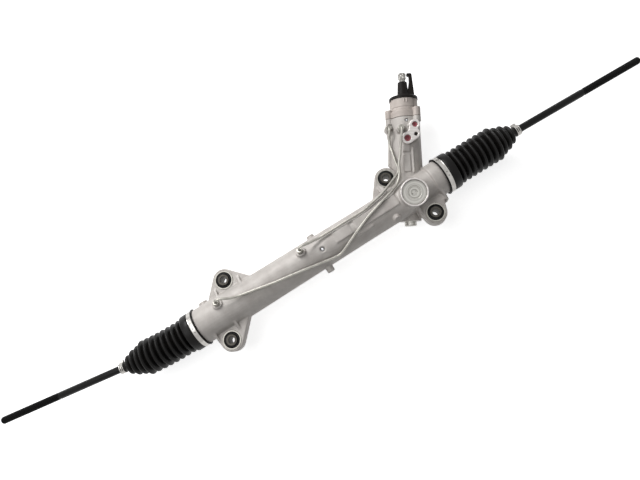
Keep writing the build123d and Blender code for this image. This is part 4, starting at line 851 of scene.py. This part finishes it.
def port_plug_line(radius):
    """The outline of a hollow transport plug, two millimetres below the port's face."""
    return [
        (24, 0), (24, radius - 0.8), (24.8, radius), (33.2, radius), (33.8, radius - 0.4), (34, radius - 1),
        (33.7, radius - 1.9), (32.8, radius - 2.2), (30.6, radius - 2.5), (30, radius - 3.2), (30, 0),
    ]


print("the yoke's plug is drawn from", len(plug_line), "points")

# %% Turned pieces
bolt_places = [Vector((x, y, 0)) * mm for x, y in ((-181, 0), (181, 0), (-222, -105), (222, -105))]
bolt_frames = [Matrix.Translation(place) for place in bolt_places]


def port_at(station, left, height=0):
    """The frame of something that stands on the tower at a station and a distance to its left."""
    return port_frame @ Matrix.Translation(Vector((station, left, height)) * mm)


pressure_port, return_port = port_at(106.3, 1.4), port_at(131.5, -13.6)
turned_pieces = [
    ("bush_sleeves", sleeve_line, True, bolt_frames, grey_steel, 48),
    ("bush_rubbers", rubber_line, True, bolt_frames, bush_rubber, 48),
    ("bush_shells", shell_line, True, bolt_frames, zinc_plate, 64),
    ("bottom_cap", bottom_line, False, [shaft_frame], turned_aluminium, 64),
    ("dust_cover", cover_line, True, [shaft_frame], black_plastic, 96),
    ("pressure_port_plug", port_plug_line(5.9), False, [pressure_port], red_plastic, 40),
    ("return_port_plug", port_plug_line(4.9), False, [return_port], red_plastic, 40),
]
for node, line, closed, places, material, steps in turned_pieces:
    work = bmesh.new()
    for place in places:
        turn_profile(work, in_metres(line), steps, place, closed)
    dress(piece(f"turned_{node}", work, material, crease=32), node)
print("turned pieces:", len(turned_pieces))

# %% [markdown]
# ## Rings of corners
# Nuts, key holes and a serrated shaft are not round, but they are still rings stacked along an axis: six
# corners, then a circle, then six corners again. A boolean could cut the holes, but one function that
# makes the rings and bridges each to the next, whatever their numbers of corners, leaves clean faces.
# The first to need it are the pipes' nuts: hexagons with a round step on top and the pipe's hole through.


# %% Stacked rings, and the pipes' nuts
def stack(work, rings, matrix, closed=False):
    """Bridge rings of (corners, radius, height) in millimetres, and fill the ends or join them."""
    circles = [
        bmesh.ops.create_circle(
            work,
            cap_ends=False,
            segments=corners,
            radius=radius * mm,
            matrix=matrix @ Matrix.Translation((0, 0, height * mm)),
        )["verts"]
        for corners, radius, height in rings
    ]
    loops = [list({edge for vert in circle for edge in vert.link_edges}) for circle in circles]
    for lower, upper in zip(loops, loops[1:] + (loops[:1] if closed else [])):
        bmesh.ops.bridge_loops(work, edges=lower + upper)
    if not closed:
        for loop in (loops[0], loops[-1]):
            bmesh.ops.edgeloop_fill(work, edges=loop)
    return circles


nut_across = 11
nut_corner = nut_across / 2 / cos(radians(30))
nut_rings = [
    (6, nut_corner - 0.5, 0), (6, nut_corner, 0.5), (6, nut_corner, 6), (24, 4.9, 7), (24, 2.9, 7),
    (24, 2.5, 6.6), (24, 2.5, 0),
]
tube_port_turn, tube_port_reach = radians(21), 38 * mm
tube_port_way = Vector((0, sin(tube_port_turn), cos(tube_port_turn)))
tube_port_line = rack_middle + tube_port_way * tube_port_reach
tube_ports = [
    onto(tube_port_line + Vector((station * mm, 0, 0)), Vector((1, 0, 0)), tube_port_way)
    for station in (-216, -36)
]
tower_pipe_port, shoulder_pipe_port = port_at(125.4, 12.7, 34), port_at(131.5, 33, 10)
work = bmesh.new()
for place in (*tube_ports, tower_pipe_port, shoulder_pipe_port):
    stack(work, nut_rings, place, closed=True)
dress(piece("hexagon_nuts", work, zinc_plate, crease=28), "pipe_nuts")
print("a nut is", nut_across, "mm across its flats")

# %% [markdown]
# ## The cap's screws
# Three socket-head screws hold the valve's cap, sunk in its ears. Only their heads show, so a thread would
# be wasted on them. The same rings make a screw: a plain shank, the wide head with its broken edge, and
# then a six-sided ring that goes down into the head as the key's hole.

# %% The cap's screws, sunk in its ears
key_corner = 2.887  # of a key that is 5 mm across
screw_rings = [
    (24, 3.5, 140), (24, 3.5, 156), (32, 5.5, 156), (32, 5.5, 162.4), (32, 4.9, 163), (6, key_corner, 163),
    (6, key_corner, 159.5),
]
ear_circle = 30.5
ear_turns = [radians(turn) for turn in (169, 49, -71)]
work = bmesh.new()
for turn in ear_turns:
    ear = Vector((ear_circle * sin(turn), ear_circle * cos(turn), 0)) * mm
    stack(work, screw_rings, shaft_frame @ Matrix.Translation(ear))
dress(piece("cap_screws", work, zinc_plate, crease=28), "valve_housing_bolts")
print("screws in the cap:", len(ear_turns))

# %% [markdown]
# ## The yoke's plug
# The large threaded plug that presses the yoke against the rack faces the eye, so its ring groove and its
# key hole are cut for real. Its outline is spun and left open at the mouth of the hole. Rings of twelve
# corners go down from there, and the plug and the hole share the ring at the mouth once doubles merge.

# %% The yoke's plug, with its ring and its key hole
key_rings = [(64, 7.4, 46), (12, 6.6, 46), (12, 6.2, 45.6), (12, 6.2, 43.4), (12, 3, 43.4), (12, 2.7, 44.6)]
work = bmesh.new()
turn_profile(work, in_metres(plug_line), 64, yoke_frame, closed=False)
mouth_ring = set(stack(work, key_rings, yoke_frame)[0])
mouth = [face for face in work.faces if set(face.verts) == mouth_ring]
bmesh.ops.delete(work, geom=mouth, context="FACES_ONLY")
dress(piece("keyed_plug", work, turned_aluminium, crease=32), "yoke_plug")
print("faces cleared from the key hole's mouth:", len(mouth))

# %% [markdown]
# ## The serrated head
# The steering column clamps onto fine serrations round the shaft's head, with a groove between them for
# the clamp's screw. A bump would do from the front but not along the outline, so the ridges are real:
# every second corner of a ring is moved out by a twentieth of its radius.

# %% Two serrated lengths on the shaft's head
corners, foot_radius, top_radius, ridge_rise = 72, 6.9, 7.05, 1.05
serrated_lengths = ((229.2, 233.4), (235.8, 239.4))
work = bmesh.new()
for start, end in serrated_lengths:
    line = ((foot_radius, start), (top_radius, start), (top_radius, end), (foot_radius, end))
    circles = stack(work, [(corners, radius, height) for radius, height in line], Matrix())
    for circle in circles[1:3]:
        bmesh.ops.scale(work, vec=(ridge_rise, ridge_rise, 1), verts=circle[::2])
bmesh.ops.transform(work, matrix=shaft_frame, verts=work.verts)
serrations = piece("serrated_head", work, ground_steel, crease=20)
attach(serrations, "input")
print(serrations.name, "has", corners // 2, "ridges round it")

# %% [markdown]
# ## Finishes for the other pieces
# The rest of the frame keeps its shape. A solid modeller's mesh is loose triangles, which shade flat, so
# the pipes, the shaft, the pressed balls and the torsion bar get a copy with merged corners that shades
# smoothly. The torsion bar's copy stays where it was made. Everything gets the finish of what it is made
# of, by the name of its material in the frame's record.

# %% Smooth copies and finishes
finishes = {
    "cast_aluminium": cast_skin,
    "valve_cap_aluminium": warm_cast_skin,
    "machined_aluminium": turned_aluminium,
    "bright_steel": ground_steel,
    "pipe_steel": zinc_plate,
    "clamp_steel": stainless_band,
    "black_steel": black_steel,
    "bearing_steel": bearing_steel,
    "black_rubber": bush_rubber,
    "boot_rubber": boot_rubber,
    "black_plastic": black_plastic,
    "red_plastic": red_plastic,
    "liner_plastic": green_liner,
    "seat_plastic": off_white_plastic,
    "ring_plastic": brown_plastic,
}
smooth_nodes = ("input_shaft", "ball_plug", "pipe_short", "pipe_long", "torsion_bar")
for node, cad in frame["nodes"].items():
    material = finishes[slot_of[node]]
    cad.data.materials.clear()
    cad.data.materials.append(material)
    if node not in smooth_nodes:
        continue
    smooth = piece(f"smooth_{node}", solid_copy(node), material, outward=False)
    if node == "torsion_bar":
        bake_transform(smooth)
        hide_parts(node)
    else:
        dress(smooth, node)
print("finishes:", len(finishes), "smooth copies:", len(smooth_nodes))
